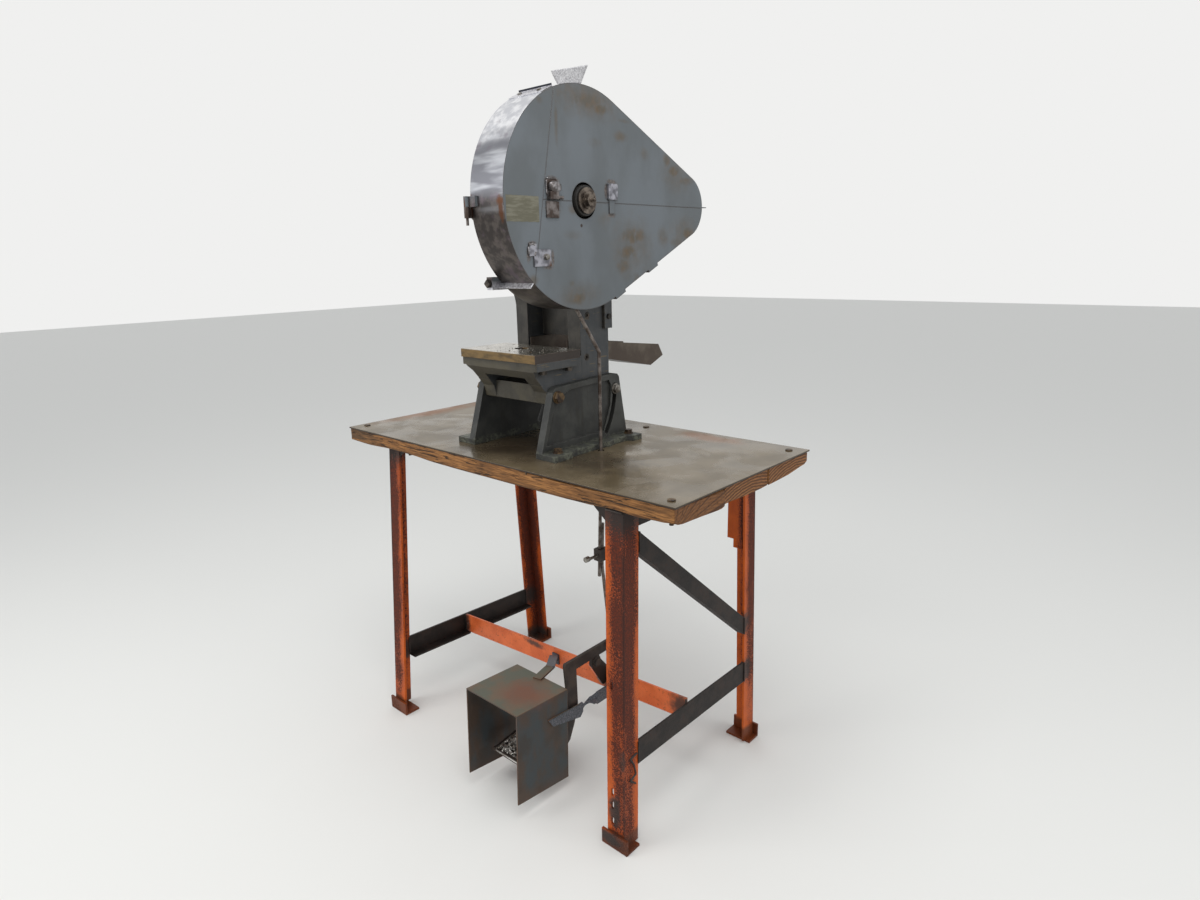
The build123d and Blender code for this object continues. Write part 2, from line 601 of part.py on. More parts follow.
EYE_WALL = 5
LOWER_X = ROD_X + LEVER_WALL / 2 + FREE + EYE_WALL / 2
lower_top = (ROD_X, ROD_TABLE_Y + 0.4, CLAMP_Z + 85)
lower_bend = (ROD_X, ROD_TABLE_Y - 5.6, CLAMP_Z - 34)
with BuildPart() as lower_rod:
    rod([lower_top, (ROD_X, ROD_TABLE_Y - 3.9, CLAMP_Z), lower_bend,
         (LOWER_X + 2, LEVER_EYE[0] - 6, LEVER_EYE[1] + 60)], ROD_R)
    with BuildSketch(side_plane(LOWER_X - EYE_WALL / 2, LEVER_EYE[0], LEVER_EYE[1] + 22)) as eye:
        with Locations((0, -18)):
            SlotOverall(30, 22, rotation=0)
        with Locations((-4, 20)):
            Rectangle(14, 60)
        with Locations((0, -22)):
            SlotCenterToCenter(8.5, 2 * (EYE_PIN_R + 0.8), mode=Mode.SUBTRACT)
    extrude(eye.sketch, amount=EYE_WALL)
save(lower_rod, "lower_rod")

clamp_front = ROD_TABLE_Y - 24
with BuildPart() as rod_clamp:
    block((ROD_X - 12, clamp_front, CLAMP_Z - 16), (ROD_X + 12, clamp_front + 30, CLAMP_Z + 17))
    for foot, top in ((upper_foot, upper_bend), (lower_bend, lower_top)):
        run = Vector(*top) - Vector(*foot)
        disc(Plane(origin=foot, z_dir=run), ROD_R + RUN, run.length, Mode.SUBTRACT)
    disc(back_plane(ROD_X, clamp_front, CLAMP_Z, 1), 4, 6, Mode.SUBTRACT)
save(rod_clamp, "rod_clamp")

with BuildPart() as clamp_screw:
    disc(back_plane(ROD_X, clamp_front + 5, CLAMP_Z, -1), 4, 44)
    disc(back_plane(ROD_X, clamp_front - 34, CLAMP_Z + 2, -1), 7.5, 12)
save(clamp_screw, "clamp_screw")


def stand_leg(side):
    """Cast side leg: a panel with a raised rim on a bolted base flange."""
    inner = side * STAND_X
    base = [(0, -200), (68, -200), (68, -142), (59, -128), (59, -8), (64, 0), (66, 8), (64, 16), (59, 24), (59, 80),
            (76, 92), (76, 125), (0, 125)]
    plate(Plane.XY.offset(TOP_Z), [(side * (STAND_X + x), y) for x, y in base], BASE_FLANGE)
    for x, y in (BASE_BOLT_FRONT, BASE_BOLT_REAR):
        disc(up_plane(side * x, y, TOP_Z), BASE_BOLT_R, BASE_FLANGE, Mode.SUBTRACT)
    face = side_plane(inner, 0, 0, side)
    panel = [(-199, TOP_Z + BASE_FLANGE), (-154, PIVOT_Z + 13), (-145, PIVOT_Z + 23), (-133, PIVOT_Z + 25),
             (80, PIVOT_Z + 32), (90, PIVOT_Z + 30), (97, PIVOT_Z + 22), (126, TOP_Z + BASE_FLANGE)]
    plate(face, [(side * y, z) for y, z in panel], STAND_WALL)
    recess = [(-184, TOP_Z + 32), (-148, PIVOT_Z - 19), (-120, PIVOT_Z + 3), (-90, PIVOT_Z + 13), (56, PIVOT_Z + 17),
              (64, PIVOT_Z + 1), (60, PIVOT_Z - 49), (32, TOP_Z + 32)]
    plate(side_plane(inner + side * STAND_WALL, 0, 0, side), [(side * y, z) for y, z in recess], -6,
          Mode.SUBTRACT)
    start = radians(TILT_REST + 2)
    end = radians(TILT_REST - TILT_TRAVEL)
    middle = (start + end) / 2

    def slot_point(radius, angle):
        return (side * (PIVOT_Y + radius * cos(angle)), PIVOT_Z + radius * sin(angle))

    near = TILT_RADIUS - TILT_SLOT_R
    far = TILT_RADIUS + TILT_SLOT_R
    with BuildSketch(face) as slot:
        with BuildLine():
            ThreePointArc(slot_point(near, start), slot_point(near, middle), slot_point(near, end))
            ThreePointArc(slot_point(near, end), slot_point(TILT_RADIUS, end - TILT_SLOT_R / TILT_RADIUS),
                          slot_point(far, end))
            ThreePointArc(slot_point(far, end), slot_point(far, middle), slot_point(far, start))
            ThreePointArc(slot_point(far, start), slot_point(TILT_RADIUS, start + TILT_SLOT_R / TILT_RADIUS),
                          slot_point(near, start))
        make_face()
    extrude(slot.sketch, amount=STAND_WALL, mode=Mode.SUBTRACT)
    disc(side_plane(inner, PIVOT_Y, PIVOT_Z, side), PIVOT_R, STAND_WALL, Mode.SUBTRACT)


with BuildPart() as press_leg_left:
    stand_leg(-1)
save(press_leg_left, "press_leg_left")

with BuildPart() as press_leg_right:
    stand_leg(1)
save(press_leg_right, "press_leg_right")

FRAME_BORE = 30
with BuildPart() as pivot_bolts:
    for side in (-1, 1):
        head = side_plane(side * (STAND_X + STAND_WALL), PIVOT_Y, PIVOT_Z, side)
        bolt(head, PIVOT_R, STAND_WALL + FREE + FRAME_BORE - 2, 24, 9, 16, 3)
save(pivot_bolts, "pivot_bolts")

tilt_angle = radians(TILT_REST)
TILT_Y = PIVOT_Y + TILT_RADIUS * cos(tilt_angle)
TILT_Z = PIVOT_Z + TILT_RADIUS * sin(tilt_angle)
with BuildPart() as tilt_bolts:
    for side in (-1, 1):
        head = side_plane(side * (STAND_X + STAND_WALL + FREE), TILT_Y, TILT_Z, side)
        bolt(head, TILT_BOLT_R, STAND_WALL + 2 * FREE + FRAME_BORE - 5, 21, 8, 14, 3)
save(tilt_bolts, "tilt_bolts")

# C frame, cast in one piece
FRAME_IN = FRAME_X - UPRIGHT
SIDE_SCREWS = [(0, BED_Z + 100.5), (-5, BED_Z - 6.5)]
MOUNT_SCREWS = [(x, SHAFT_Z + z) for x in (-55, 45) for z in (-77, 23)]
BOLSTER_STUDS = [(s * 130, y) for s in (-1, 1) for y in (-173, -84)]
CHUTE_SLOPE = -74 / 352
CHUTE_HEAD = -25
CHUTE_STEP = 3.5


def chute_floor(y):
    """Height of the chute's underside at y."""
    return BED_Z + CHUTE_STEP + CHUTE_SLOPE * (y - CHUTE_HEAD)


FRAME_TOP = SHAFT_Z + 133
THROAT_TOP = SHAFT_Z - 245
head_top = (SHAFT_Y - 3, SHAFT_Z + 103)
head_front = (SHAFT_Y - BOSS_R, SHAFT_Z)
head_low = (SHAFT_Y + 7, SHAFT_Z - 122)
with BuildPart() as press_frame:
    for side in (-1, 1):
        low_x = FRAME_IN if side > 0 else -FRAME_X
        cheek = Plane.YZ.offset(low_x)
        with BuildSketch(cheek) as outline:
            with BuildLine():
                Polyline((COLUMN_FRONT, THROAT_TOP), (COLUMN_FRONT, BED_Z), (BED_FRONT, BED_Z),
                         (BED_FRONT, BED_Z - BED_FLANGE), (-157, PIVOT_Z + 11), (-150, PIVOT_Z - 19),
                         (-137, PIVOT_Z - 24), (93, PIVOT_Z - 41), (105, PIVOT_Z - 27), (105, PIVOT_Z - 5),
                         (COLUMN_REAR, PIVOT_Z + 26), (COLUMN_REAR, FRAME_TOP - 40), (43, FRAME_TOP),
                         (-87, FRAME_TOP), head_top)
                ThreePointArc(head_top, (head_front[0] + 2, SHAFT_Z + 30), head_front)
                ThreePointArc(head_front, (SHAFT_Y - 18, SHAFT_Z - 67), head_low)
                ThreePointArc(head_low, (COLUMN_FRONT - 23, THROAT_TOP + 63), (COLUMN_FRONT, THROAT_TOP))
            make_face()
        extrude(outline.sketch, amount=UPRIGHT)
    # Rear wall between the cheeks, above the opening for the chute
    block((-FRAME_IN, COLUMN_REAR - REAR_WALL, PASSAGE_TOP), (FRAME_IN, COLUMN_REAR, FRAME_TOP))
    # Bed, its flange and the walls below it
    bed = [(BED_FRONT, BED_Z - BED_FLANGE), (BED_FRONT, BED_Z), (COLUMN_REAR, BED_Z),
           (COLUMN_REAR, BED_Z - 48.5), (20, BED_Z - 48.5), (20, BED_Z - 38.5), (-170, BED_Z - 38.5),
           (-170, BED_Z - BED_FLANGE)]
    plate(Plane.YZ.offset(-FRAME_IN), bed, 2 * FRAME_IN)
    block((-BED_HALF, BED_FRONT, BED_Z - BED_FLANGE), (BED_HALF, -52, BED_Z))
    # Apron under the bed's front edge, with its arch
    apron_low = BED_Z - 54.5
    with BuildSketch(Plane.XZ.offset(-BED_FRONT - 18)) as apron:
        with BuildLine():
            Polyline((-61, apron_low), (-FRAME_X, apron_low), (-FRAME_X, apron_low + 18), (-126, apron_low + 28),
                     (-128, BED_Z - BED_FLANGE), (128, BED_Z - BED_FLANGE), (126, apron_low + 28),
                     (FRAME_X, apron_low + 18), (FRAME_X, apron_low), (64, apron_low))
            ThreePointArc((64, apron_low), (2, apron_low + 13), (-61, apron_low))
        make_face()
    extrude(apron.sketch, amount=18)
    # Drop the apron's corners back along the cheeks' slanting front edges
    slant = [(BED_FRONT - 1, apron_low + 34), (BED_FRONT - 1, apron_low - 4), (-172, apron_low - 4)]
    plate(Plane.YZ.offset(-BED_HALF), slant, 2 * BED_HALF, Mode.SUBTRACT)
    # Cross walls low between the cheeks
    block((-FRAME_IN, -150, PIVOT_Z - 19), (FRAME_IN, -132, PIVOT_Z + 26))
    block((-FRAME_IN, 60, PIVOT_Z - 37), (FRAME_IN, COLUMN_REAR, BED_Z - 46.5))
    # Ways for the ram: a web behind it and a shoulder on each side
    block((-FRAME_IN, RAM_REAR + FREE, WAY_BOTTOM), (FRAME_IN, COLUMN_REAR - REAR_WALL, WAY_TOP))
    for side in (-1, 1):
        low_x, high_x = sorted((side * (RAM_WING + FREE), side * FRAME_IN))
        block((low_x, WING_FRONT, WAY_BOTTOM), (high_x, RAM_REAR + FREE, WAY_TOP))
    # Relief behind the pitman's ball
    block((-BALL_R - 3, RAM_REAR, WAY_BOTTOM + 12), (BALL_R + 3, RAM_REAR + 8, WAY_TOP), Mode.SUBTRACT)
    # Bearing bosses
    disc(side_plane(FRAME_X, SHAFT_Y, SHAFT_Z, 1), RIGHT_BOSS_R, GUARD_BACK - FRAME_X)
    disc(side_plane(-FRAME_X, SHAFT_Y, SHAFT_Z, -1), BOSS_R, GUARD_BACK - FRAME_X)
    disc(side_plane(FRAME_IN, SHAFT_Y, SHAFT_Z, 1), BOSS_R, UPRIGHT)
    disc(side_plane(-FRAME_IN, SHAFT_Y, SHAFT_Z, -1), BOSS_R, UPRIGHT)
    disc(side_plane(GUARD_BACK, SHAFT_Y, SHAFT_Z, -1), JOURNAL_R + BUSH_WALL, 2 * GUARD_BACK, Mode.SUBTRACT)
    # Sloping passage for the chute
    passage = [(-60, BED_Z), (-60, PASSAGE_TOP), (COLUMN_REAR + 30, PASSAGE_TOP),
               (COLUMN_REAR + 30, chute_floor(COLUMN_REAR + 30)), (-20, chute_floor(-20)), (COLUMN_FRONT, BED_Z)]
    plate(Plane.YZ.offset(-FRAME_IN), passage, 2 * FRAME_IN, Mode.SUBTRACT)
    # Holes: pivots, tilt bolts, die opening, side screws, motor mount, bolster studs
    for side in (-1, 1):
        disc(side_plane(side * FRAME_X, PIVOT_Y, PIVOT_Z, -side), PIVOT_R + RUN, FRAME_BORE, Mode.SUBTRACT)
        disc(side_plane(side * FRAME_X, TILT_Y, TILT_Z, -side), TILT_BOLT_R, FRAME_BORE - 5, Mode.SUBTRACT)
        for y, z in SIDE_SCREWS:
            disc(side_plane(side * FRAME_X, y, z, -side), 9, 4, Mode.SUBTRACT)
            disc(side_plane(side * FRAME_X, y, z, -side), 5, 20, Mode.SUBTRACT)
    disc(up_plane(0, SHAFT_Y, BED_Z), 32, -50, Mode.SUBTRACT)
    for x, z in MOUNT_SCREWS:
        disc(back_plane(x, COLUMN_REAR, z, -1), 5, 22, Mode.SUBTRACT)
    for x, y in BOLSTER_STUDS:
        disc(up_plane(x, y, BED_Z), 5, -BED_FLANGE, Mode.SUBTRACT)
save(press_frame, "press_frame")

# Bolster plate with its die hole, tapped holes and the bores of the bolts that hold it from below
BOLSTER_TOP = BED_Z + BOLSTER
bolster_taps = [(sx * BOLSTER_HOLES_X / 2, SHAFT_Y + sy * BOLSTER_HOLES_Y / 2) for sx in (-1, 1) for sy in (-1, 1)]
with BuildPart() as bolster_plate:
    block((-BED_HALF, BOLSTER_Y - BOLSTER_DEPTH / 2, BED_Z), (BED_HALF, BOLSTER_Y + BOLSTER_DEPTH / 2, BOLSTER_TOP))
    chamfer(bolster_plate.edges().group_by(Axis.Z)[-1], length=1)
    disc(up_plane(0, SHAFT_Y, BOLSTER_TOP), DIE_HOLE_R, -BOLSTER, Mode.SUBTRACT)
    for x, y in bolster_taps:
        disc(up_plane(x, y, BOLSTER_TOP), BOLSTER_TAP_R, -BOLSTER, Mode.SUBTRACT)
    for x, y in BOLSTER_STUDS:
        disc(up_plane(x, y, BED_Z), 5, BOLSTER - 6, Mode.SUBTRACT)
save(bolster_plate, "bolster_plate")

# Ram: a square slide with wings held behind the gib strips, and a fork for the pitman's ball
BALL_Z = SHAFT_Z + THROW - PITMAN_LENGTH
FORK_HALF = BALL_R + FREE
FORK_FLOOR = BALL_Z - BALL_R - 2 * THROW - FREE
with BuildPart() as ram:
    block((-RAM_HALF, RAM_FRONT, RAM_BOTTOM), (RAM_HALF, RAM_REAR, RAM_TOP))
    block((-RAM_WING, WING_FRONT + FREE, RAM_BOTTOM), (RAM_WING, RAM_REAR, RAM_TOP))
    block((-FORK_HALF, RAM_FRONT, FORK_FLOOR), (FORK_HALF, RAM_REAR, RAM_TOP), Mode.SUBTRACT)
    disc(up_plane(0, SHAFT_Y, RAM_BOTTOM), SHANK_R, SHANK_DEPTH, Mode.SUBTRACT)
    disc(back_plane(0, RAM_FRONT, RAM_BOTTOM + 15), 5, SHAFT_Y - RAM_FRONT, Mode.SUBTRACT)
save(ram, "ram")

with BuildPart() as punch_screw:
    bolt(back_plane(0, RAM_FRONT, RAM_BOTTOM + 15, -1), 5, SHAFT_Y - RAM_FRONT - SHANK_R - 1, 11, 9, sides=4)
save(punch_screw, "punch_screw")

GIB_SCREW_X = (RAM_WING + FREE + FRAME_IN) / 2
GIB_SCREWS_Z = (WAY_BOTTOM + 14, (WAY_BOTTOM + WAY_TOP) / 2, WAY_TOP - 14)
GIB_SCREWS = [(s * GIB_SCREW_X, z) for s in (-1, 1) for z in GIB_SCREWS_Z]
with BuildPart() as gib_strips:
    for side in (-1, 1):
        low_x, high_x = sorted((side * (RAM_HALF + FREE), side * FRAME_IN))
        block((low_x, GIB_FRONT, WAY_BOTTOM), (high_x, WING_FRONT, WAY_TOP))
    for x, z in GIB_SCREWS:
        disc(back_plane(x, GIB_FRONT, z), 3, WING_FRONT - GIB_FRONT, Mode.SUBTRACT)
save(gib_strips, "gib_strips")

# Pitman in two halves on the crank pin, with the ball screw that sets the ram's height
PIN_Z = SHAFT_Z + THROW
PITMAN_HALF = CRANK_PIN_HALF - 1.5
EAR_REACH = CRANK_PIN_R + PITMAN_RING + 14
with BuildPart() as pitman:
    disc(side_plane(-PITMAN_HALF, SHAFT_Y, PIN_Z), CRANK_PIN_R + PITMAN_RING, 2 * PITMAN_HALF)
    block((-PITMAN_HALF, SHAFT_Y - EAR_REACH, PIN_Z - 10), (PITMAN_HALF, SHAFT_Y + EAR_REACH, PIN_Z))
    disc(up_plane(0, SHAFT_Y, BALL_Z + BALL_R + 8), 15, 30)
    block((-60, SHAFT_Y - 60, PIN_Z), (60, SHAFT_Y + 60, PIN_Z + 60), Mode.SUBTRACT)
    disc(side_plane(-PITMAN_HALF, SHAFT_Y, PIN_Z), CRANK_PIN_R + RUN, 2 * PITMAN_HALF, Mode.SUBTRACT)
    disc(up_plane(0, SHAFT_Y, BALL_Z + BALL_R), SCREW_R, 30, Mode.SUBTRACT)
    for y in (-1, 1):
        disc(up_plane(0, SHAFT_Y + y * (EAR_REACH - 8), PIN_Z - 10), 4, 10, Mode.SUBTRACT)
save(pitman, "pitman")

with BuildPart() as pitman_cap:
    disc(side_plane(-PITMAN_HALF, SHAFT_Y, PIN_Z), CRANK_PIN_R + PITMAN_RING, 2 * PITMAN_HALF)
    block((-PITMAN_HALF, SHAFT_Y - EAR_REACH, PIN_Z), (PITMAN_HALF, SHAFT_Y + EAR_REACH, PIN_Z + 10))
    block((-60, SHAFT_Y - 60, PIN_Z - 60), (60, SHAFT_Y + 60, PIN_Z), Mode.SUBTRACT)
    disc(side_plane(-PITMAN_HALF, SHAFT_Y, PIN_Z), CRANK_PIN_R + RUN, 2 * PITMAN_HALF, Mode.SUBTRACT)
    for y in (-1, 1):
        disc(up_plane(0, SHAFT_Y + y * (EAR_REACH - 8), PIN_Z), 4, 10, Mode.SUBTRACT)
save(pitman_cap, "pitman_cap")

with BuildPart() as pitman_bolts:
    for y in (-1, 1):
        bolt(up_plane(0, SHAFT_Y + y * (EAR_REACH - 8), PIN_Z + 10), 4, 20, 12, 6)
save(pitman_bolts, "pitman_bolts")

with BuildPart() as adjusting_screw:
    with Locations((0, SHAFT_Y, BALL_Z)):
        Sphere(BALL_R)
    disc(up_plane(0, SHAFT_Y, BALL_Z + BALL_R - 6), SCREW_R, 36)
    with BuildSketch(up_plane(0, SHAFT_Y, BALL_Z + BALL_R)) as collar:
        RegularPolygon(13, 6, major_radius=False)
    extrude(collar.sketch, amount=8)
save(adjusting_screw, "adjusting_screw")

# Crankshaft with its two webs, and the bronze bushes that carry it
SHAFT_END = HUB_RIGHT + 1.5
with BuildPart() as crankshaft:
    left_end = GUARD_BACK + 16
    disc(side_plane(-left_end, SHAFT_Y, SHAFT_Z), JOURNAL_R, left_end - CRANK_PIN_HALF - 1)
    disc(side_plane(CRANK_PIN_HALF + 1, SHAFT_Y, SHAFT_Z), JOURNAL_R, SHAFT_END - CRANK_PIN_HALF - 1)
    for low_x in (-CRANK_PIN_HALF - CRANK_WEB, CRANK_PIN_HALF):
        with BuildSketch(Plane.YZ.offset(low_x)) as web:
            with Locations((SHAFT_Y, SHAFT_Z + THROW / 2)):
                SlotCenterToCenter(THROW, 2 * CRANK_WEB_R, rotation=90)
        extrude(web.sketch, amount=CRANK_WEB)
    disc(side_plane(-CRANK_PIN_HALF - 1, SHAFT_Y, PIN_Z), CRANK_PIN_R, 2 * CRANK_PIN_HALF + 2)
    disc(side_plane(SHAFT_END, SHAFT_Y, SHAFT_Z), 12, 16)
save(crankshaft, "crankshaft")

with BuildPart() as crank_bushes:
    for low_x in (-GUARD_BACK, FRAME_IN):
        ring(side_plane(low_x, SHAFT_Y, SHAFT_Z), JOURNAL_R + BUSH_WALL, JOURNAL_R + RUN, GUARD_BACK - FRAME_IN)
save(crank_bushes, "crank_bushes")

# Collars on the shaft: the clutch collar with two slots for the flywheel's pin, and the left end collar
with BuildPart() as shaft_collars:
    ring(side_plane(COLLAR_LEFT, SHAFT_Y, SHAFT_Z), COLLAR_R, JOURNAL_R, COLLAR_WIDTH)
    right = COLLAR_LEFT + COLLAR_WIDTH
    for y in (-1, 1):
        near, far = sorted((SHAFT_Y + y * (JOURNAL_R + 3), SHAFT_Y + y * (COLLAR_R + 6)))
        block((right - 7, near, SHAFT_Z - 5), (right, far, SHAFT_Z + 5), Mode.SUBTRACT)
    ring(side_plane(-GUARD_BACK - FREE, SHAFT_Y, SHAFT_Z, -1), COLLAR_R - 3, JOURNAL_R, 14)
save(shaft_collars, "shaft_collars")

# Washer, ring nut, lock nut and grease fitting on the shaft's outer end
with BuildPart() as shaft_nut:
    end_plane = side_plane(SHAFT_END, SHAFT_Y, SHAFT_Z)
    ring(end_plane, 28.5, 12, 4)
    ring(end_plane.offset(4), 19, 12, 5)
    with BuildSketch(end_plane.offset(9)) as nut:
        RegularPolygon(12.5, 6, major_radius=False)
    extrude(nut.sketch, amount=8)
    disc(end_plane, 12, 16, Mode.SUBTRACT)
    disc(end_plane.offset(16), 5, 4)
    disc(end_plane.offset(20), 3, 5)
    with Locations((SHAFT_END + 25, SHAFT_Y, SHAFT_Z)):
        Sphere(3.6)
save(shaft_nut, "shaft_nut")

# Flywheel: rim with a belt groove, web with round holes, long hub on a bronze bush
HUB_BORE = JOURNAL_R + RUN + HUB_BUSH_WALL
WEB_HALF = 8
RIM_INNER = FLYWHEEL_R - 34
GROOVE_DEPTH = BELT_DEPTH + 2 * FREE
GROOVE_HALF = BELT_WIDTH / 2 + FREE
with BuildPart() as flywheel:
    rim_left = FLYWHEEL_LEFT
    rim_right = FLYWHEEL_LEFT + FLYWHEEL_WIDTH
    with BuildSketch(Plane.XY.offset(SHAFT_Z)) as section:
        with BuildLine():
            Polyline((HUB_LEFT, SHAFT_Y + HUB_BORE), (HUB_RIGHT, SHAFT_Y + HUB_BORE), (HUB_RIGHT, SHAFT_Y + HUB_R),
                     (BELT_X + WEB_HALF + 4, SHAFT_Y + HUB_R + 8), (BELT_X + WEB_HALF, SHAFT_Y + RIM_INNER - 8),
                     (rim_right, SHAFT_Y + RIM_INNER), (rim_right, SHAFT_Y + FLYWHEEL_R),
                     (BELT_X + GROOVE_HALF, SHAFT_Y + FLYWHEEL_R),
                     (BELT_X + GROOVE_HALF, SHAFT_Y + FLYWHEEL_R - GROOVE_DEPTH),
                     (BELT_X - GROOVE_HALF, SHAFT_Y + FLYWHEEL_R - GROOVE_DEPTH),
                     (BELT_X - GROOVE_HALF, SHAFT_Y + FLYWHEEL_R),
                     (rim_left, SHAFT_Y + FLYWHEEL_R), (rim_left, SHAFT_Y + RIM_INNER),
                     (BELT_X - WEB_HALF, SHAFT_Y + RIM_INNER - 8), (BELT_X - WEB_HALF - 4, SHAFT_Y + HUB_R + 8),
                     (HUB_LEFT, SHAFT_Y + HUB_R), close=True)
        make_face()
    revolve(section.sketch, axis=Axis((0, SHAFT_Y, SHAFT_Z), (1, 0, 0)))
    web_plane = side_plane(BELT_X - 20, SHAFT_Y, SHAFT_Z)
    with BuildSketch(web_plane) as holes:
        with PolarLocations(104, 5):
            Circle(27)
    extrude(holes.sketch, amount=40, mode=Mode.SUBTRACT)
save(flywheel, "flywheel")

with BuildPart() as flywheel_bush:
    ring(side_plane(HUB_LEFT, SHAFT_Y, SHAFT_Z), HUB_BORE, JOURNAL_R + RUN, HUB_RIGHT - HUB_LEFT)
save(flywheel_bush, "flywheel_bush")

# Motor on its shelf behind the column
SHELF_Z = SHAFT_Z - 92
SHELF_REAR = MOTOR_Y + 83.5
FOOT_BOLTS = [(x, MOTOR_Y + y) for x in (-80, 50) for y in (-62, 62)]
with BuildPart() as motor_mount:
    block((-80, COLUMN_REAR, SHELF_Z - 25), (70, COLUMN_REAR + 12, SHELF_Z + 145))
    block((-115, COLUMN_REAR, SHELF_Z - 12), (70, SHELF_REAR, SHELF_Z))
    for x in (-80, 62):
        rib = [(COLUMN_REAR, SHELF_Z), (COLUMN_REAR, SHELF_Z + 125), (COLUMN_REAR + 16, SHELF_Z + 125),
               (COLUMN_REAR + 84, SHELF_Z)]
        plate(Plane.YZ.offset(x), rib, 8)
    for x, z in MOUNT_SCREWS:
        disc(back_plane(x, COLUMN_REAR, z), 5, 12, Mode.SUBTRACT)
    for x, y in FOOT_BOLTS:
        disc(up_plane(x, y, SHELF_Z), 4, -12, Mode.SUBTRACT)
save(motor_mount, "motor_mount")

MOTOR_LEFT = -129.5
MOTOR_RIGHT = 100.5
with BuildPart() as motor_body:
    with BuildSketch(Plane.XY.offset(SHAFT_Z)) as section:
        with BuildLine():
            Polyline((MOTOR_LEFT, MOTOR_Y), (MOTOR_LEFT, MOTOR_Y + 58), (MOTOR_LEFT + 14, MOTOR_Y + 74),
                     (MOTOR_LEFT + 34, MOTOR_Y + 74), (MOTOR_LEFT + 34, MOTOR_Y + MOTOR_R),
                     (MOTOR_RIGHT - 34, MOTOR_Y + MOTOR_R), (MOTOR_RIGHT - 34, MOTOR_Y + 74),
                     (MOTOR_RIGHT - 18, MOTOR_Y + 74), (MOTOR_RIGHT - 6, MOTOR_Y + 30), (MOTOR_RIGHT, MOTOR_Y + 24),
                     (MOTOR_RIGHT, MOTOR_Y), close=True)
        make_face()
    revolve(section.sketch, axis=Axis((0, MOTOR_Y, SHAFT_Z), (1, 0, 0)))
    for x in (-95, 35):
        block((x, MOTOR_Y - 74, SHELF_Z), (x + 30, MOTOR_Y + 74, SHELF_Z + 10))
        block((x, MOTOR_Y - 50, SHELF_Z), (x + 30, MOTOR_Y + 50, SHAFT_Z - 50))
    block((-60, MOTOR_Y - 106, SHAFT_Z - 20), (10, MOTOR_Y - 60, SHAFT_Z + 35))
    disc(side_plane(MOTOR_RIGHT, MOTOR_Y, SHAFT_Z), MOTOR_SHAFT_R + RUN, -200, Mode.SUBTRACT)
    for x, y in FOOT_BOLTS:
        disc(up_plane(x, y, SHELF_Z), 4, 10, Mode.SUBTRACT)
save(motor_body, "motor_body")

PULLEY_LEFT = BELT_X - 9
with BuildPart() as motor_shaft:
    shaft_left = MOTOR_RIGHT - 199
    disc(side_plane(shaft_left, MOTOR_Y, SHAFT_Z), MOTOR_SHAFT_R, PULLEY_LEFT + 25.5 - shaft_left)
save(motor_shaft, "motor_shaft")

with BuildPart() as motor_pulley:
    ring(side_plane(PULLEY_LEFT, MOTOR_Y, SHAFT_Z), PULLEY_R, MOTOR_SHAFT_R, 18)
    ring(side_plane(PULLEY_LEFT - 12, MOTOR_Y, SHAFT_Z), 19, MOTOR_SHAFT_R, 12)
    with BuildSketch(side_plane(BELT_X - GROOVE_HALF, MOTOR_Y, SHAFT_Z)) as groove:
        Circle(PULLEY_R + 2)
        Circle(PULLEY_R - GROOVE_DEPTH, mode=Mode.SUBTRACT)
    extrude(groove.sketch, amount=2 * GROOVE_HALF, mode=Mode.SUBTRACT)
save(motor_pulley, "motor_pulley")

with BuildPart() as v_belt:
    outer = FREE
    inner = FREE + BELT_DEPTH
    drop(BELT_X - BELT_WIDTH / 2, FLYWHEEL_R - outer, PULLEY_R - outer, BELT_WIDTH)
    drop(BELT_X - BELT_WIDTH / 2, FLYWHEEL_R - inner, PULLEY_R - inner, BELT_WIDTH, Mode.SUBTRACT)
save(v_belt, "v_belt")

# Sheet guard: back plate, upper and lower covers, and the hinged door in front of the upright seam
GUARD_IN = GUARD_R - GUARD_SHEET
NOSE_IN = NOSE_R - GUARD_SHEET
SEAM_SLOPE = (SEAM_TOP[0] - SEAM_LOW[0]) / (SEAM_TOP[1] - SEAM_LOW[1])
SPLIT_Z = SHAFT_Z - 2
SPLIT_GAP = 0.4
BACK_SCREW_R = RIGHT_BOSS_R - 4.5
boss_screws = [(SHAFT_Y + BACK_SCREW_R * cos(radians(a)), SHAFT_Z + BACK_SCREW_R * sin(radians(a)))
               for a in (60, 180, 300)]
BRACKET_SCREWS = [(COLUMN_REAR - 8, SHAFT_Z - 275), (COLUMN_REAR - 8, SHAFT_Z - 159)]
ROOM_LOW = SHAFT_Z - GUARD_R - 65
ROOM_HIGH = SHAFT_Z + GUARD_R + 51
ROOM_REAR = MOTOR_Y + NOSE_R + 52.5
ROOM_FRONT = SHAFT_Y - GUARD_R - 136


def seam_y(z):
    """Y of the upright seam at a height."""
    return SEAM_LOW[0] + SEAM_SLOPE * (z - SEAM_LOW[1])


def rear_zone(low, high):
    """Outline of the room behind the upright seam between two heights."""
    return [(seam_y(low), low), (seam_y(high), high), (ROOM_REAR, high), (ROOM_REAR, low)]


def front_zone(gap):
    """Outline of the room in front of the upright seam, a gap away from it."""
    return [(seam_y(ROOM_LOW) - gap, ROOM_LOW), (seam_y(ROOM_HIGH) - gap, ROOM_HIGH), (ROOM_FRONT, ROOM_HIGH),
            (ROOM_FRONT, ROOM_LOW)]


def guard_shell(left):
    """Rim and face of the whole guard, open to the left."""
    drop(left, GUARD_R, NOSE_R, GUARD_FACE - left)
    drop(left, GUARD_IN, NOSE_IN, GUARD_FACE - GUARD_SHEET - left, Mode.SUBTRACT)
    disc(side_plane(GUARD_FACE, SHAFT_Y, SHAFT_Z), FACE_HOLE_R, -GUARD_SHEET, Mode.SUBTRACT)


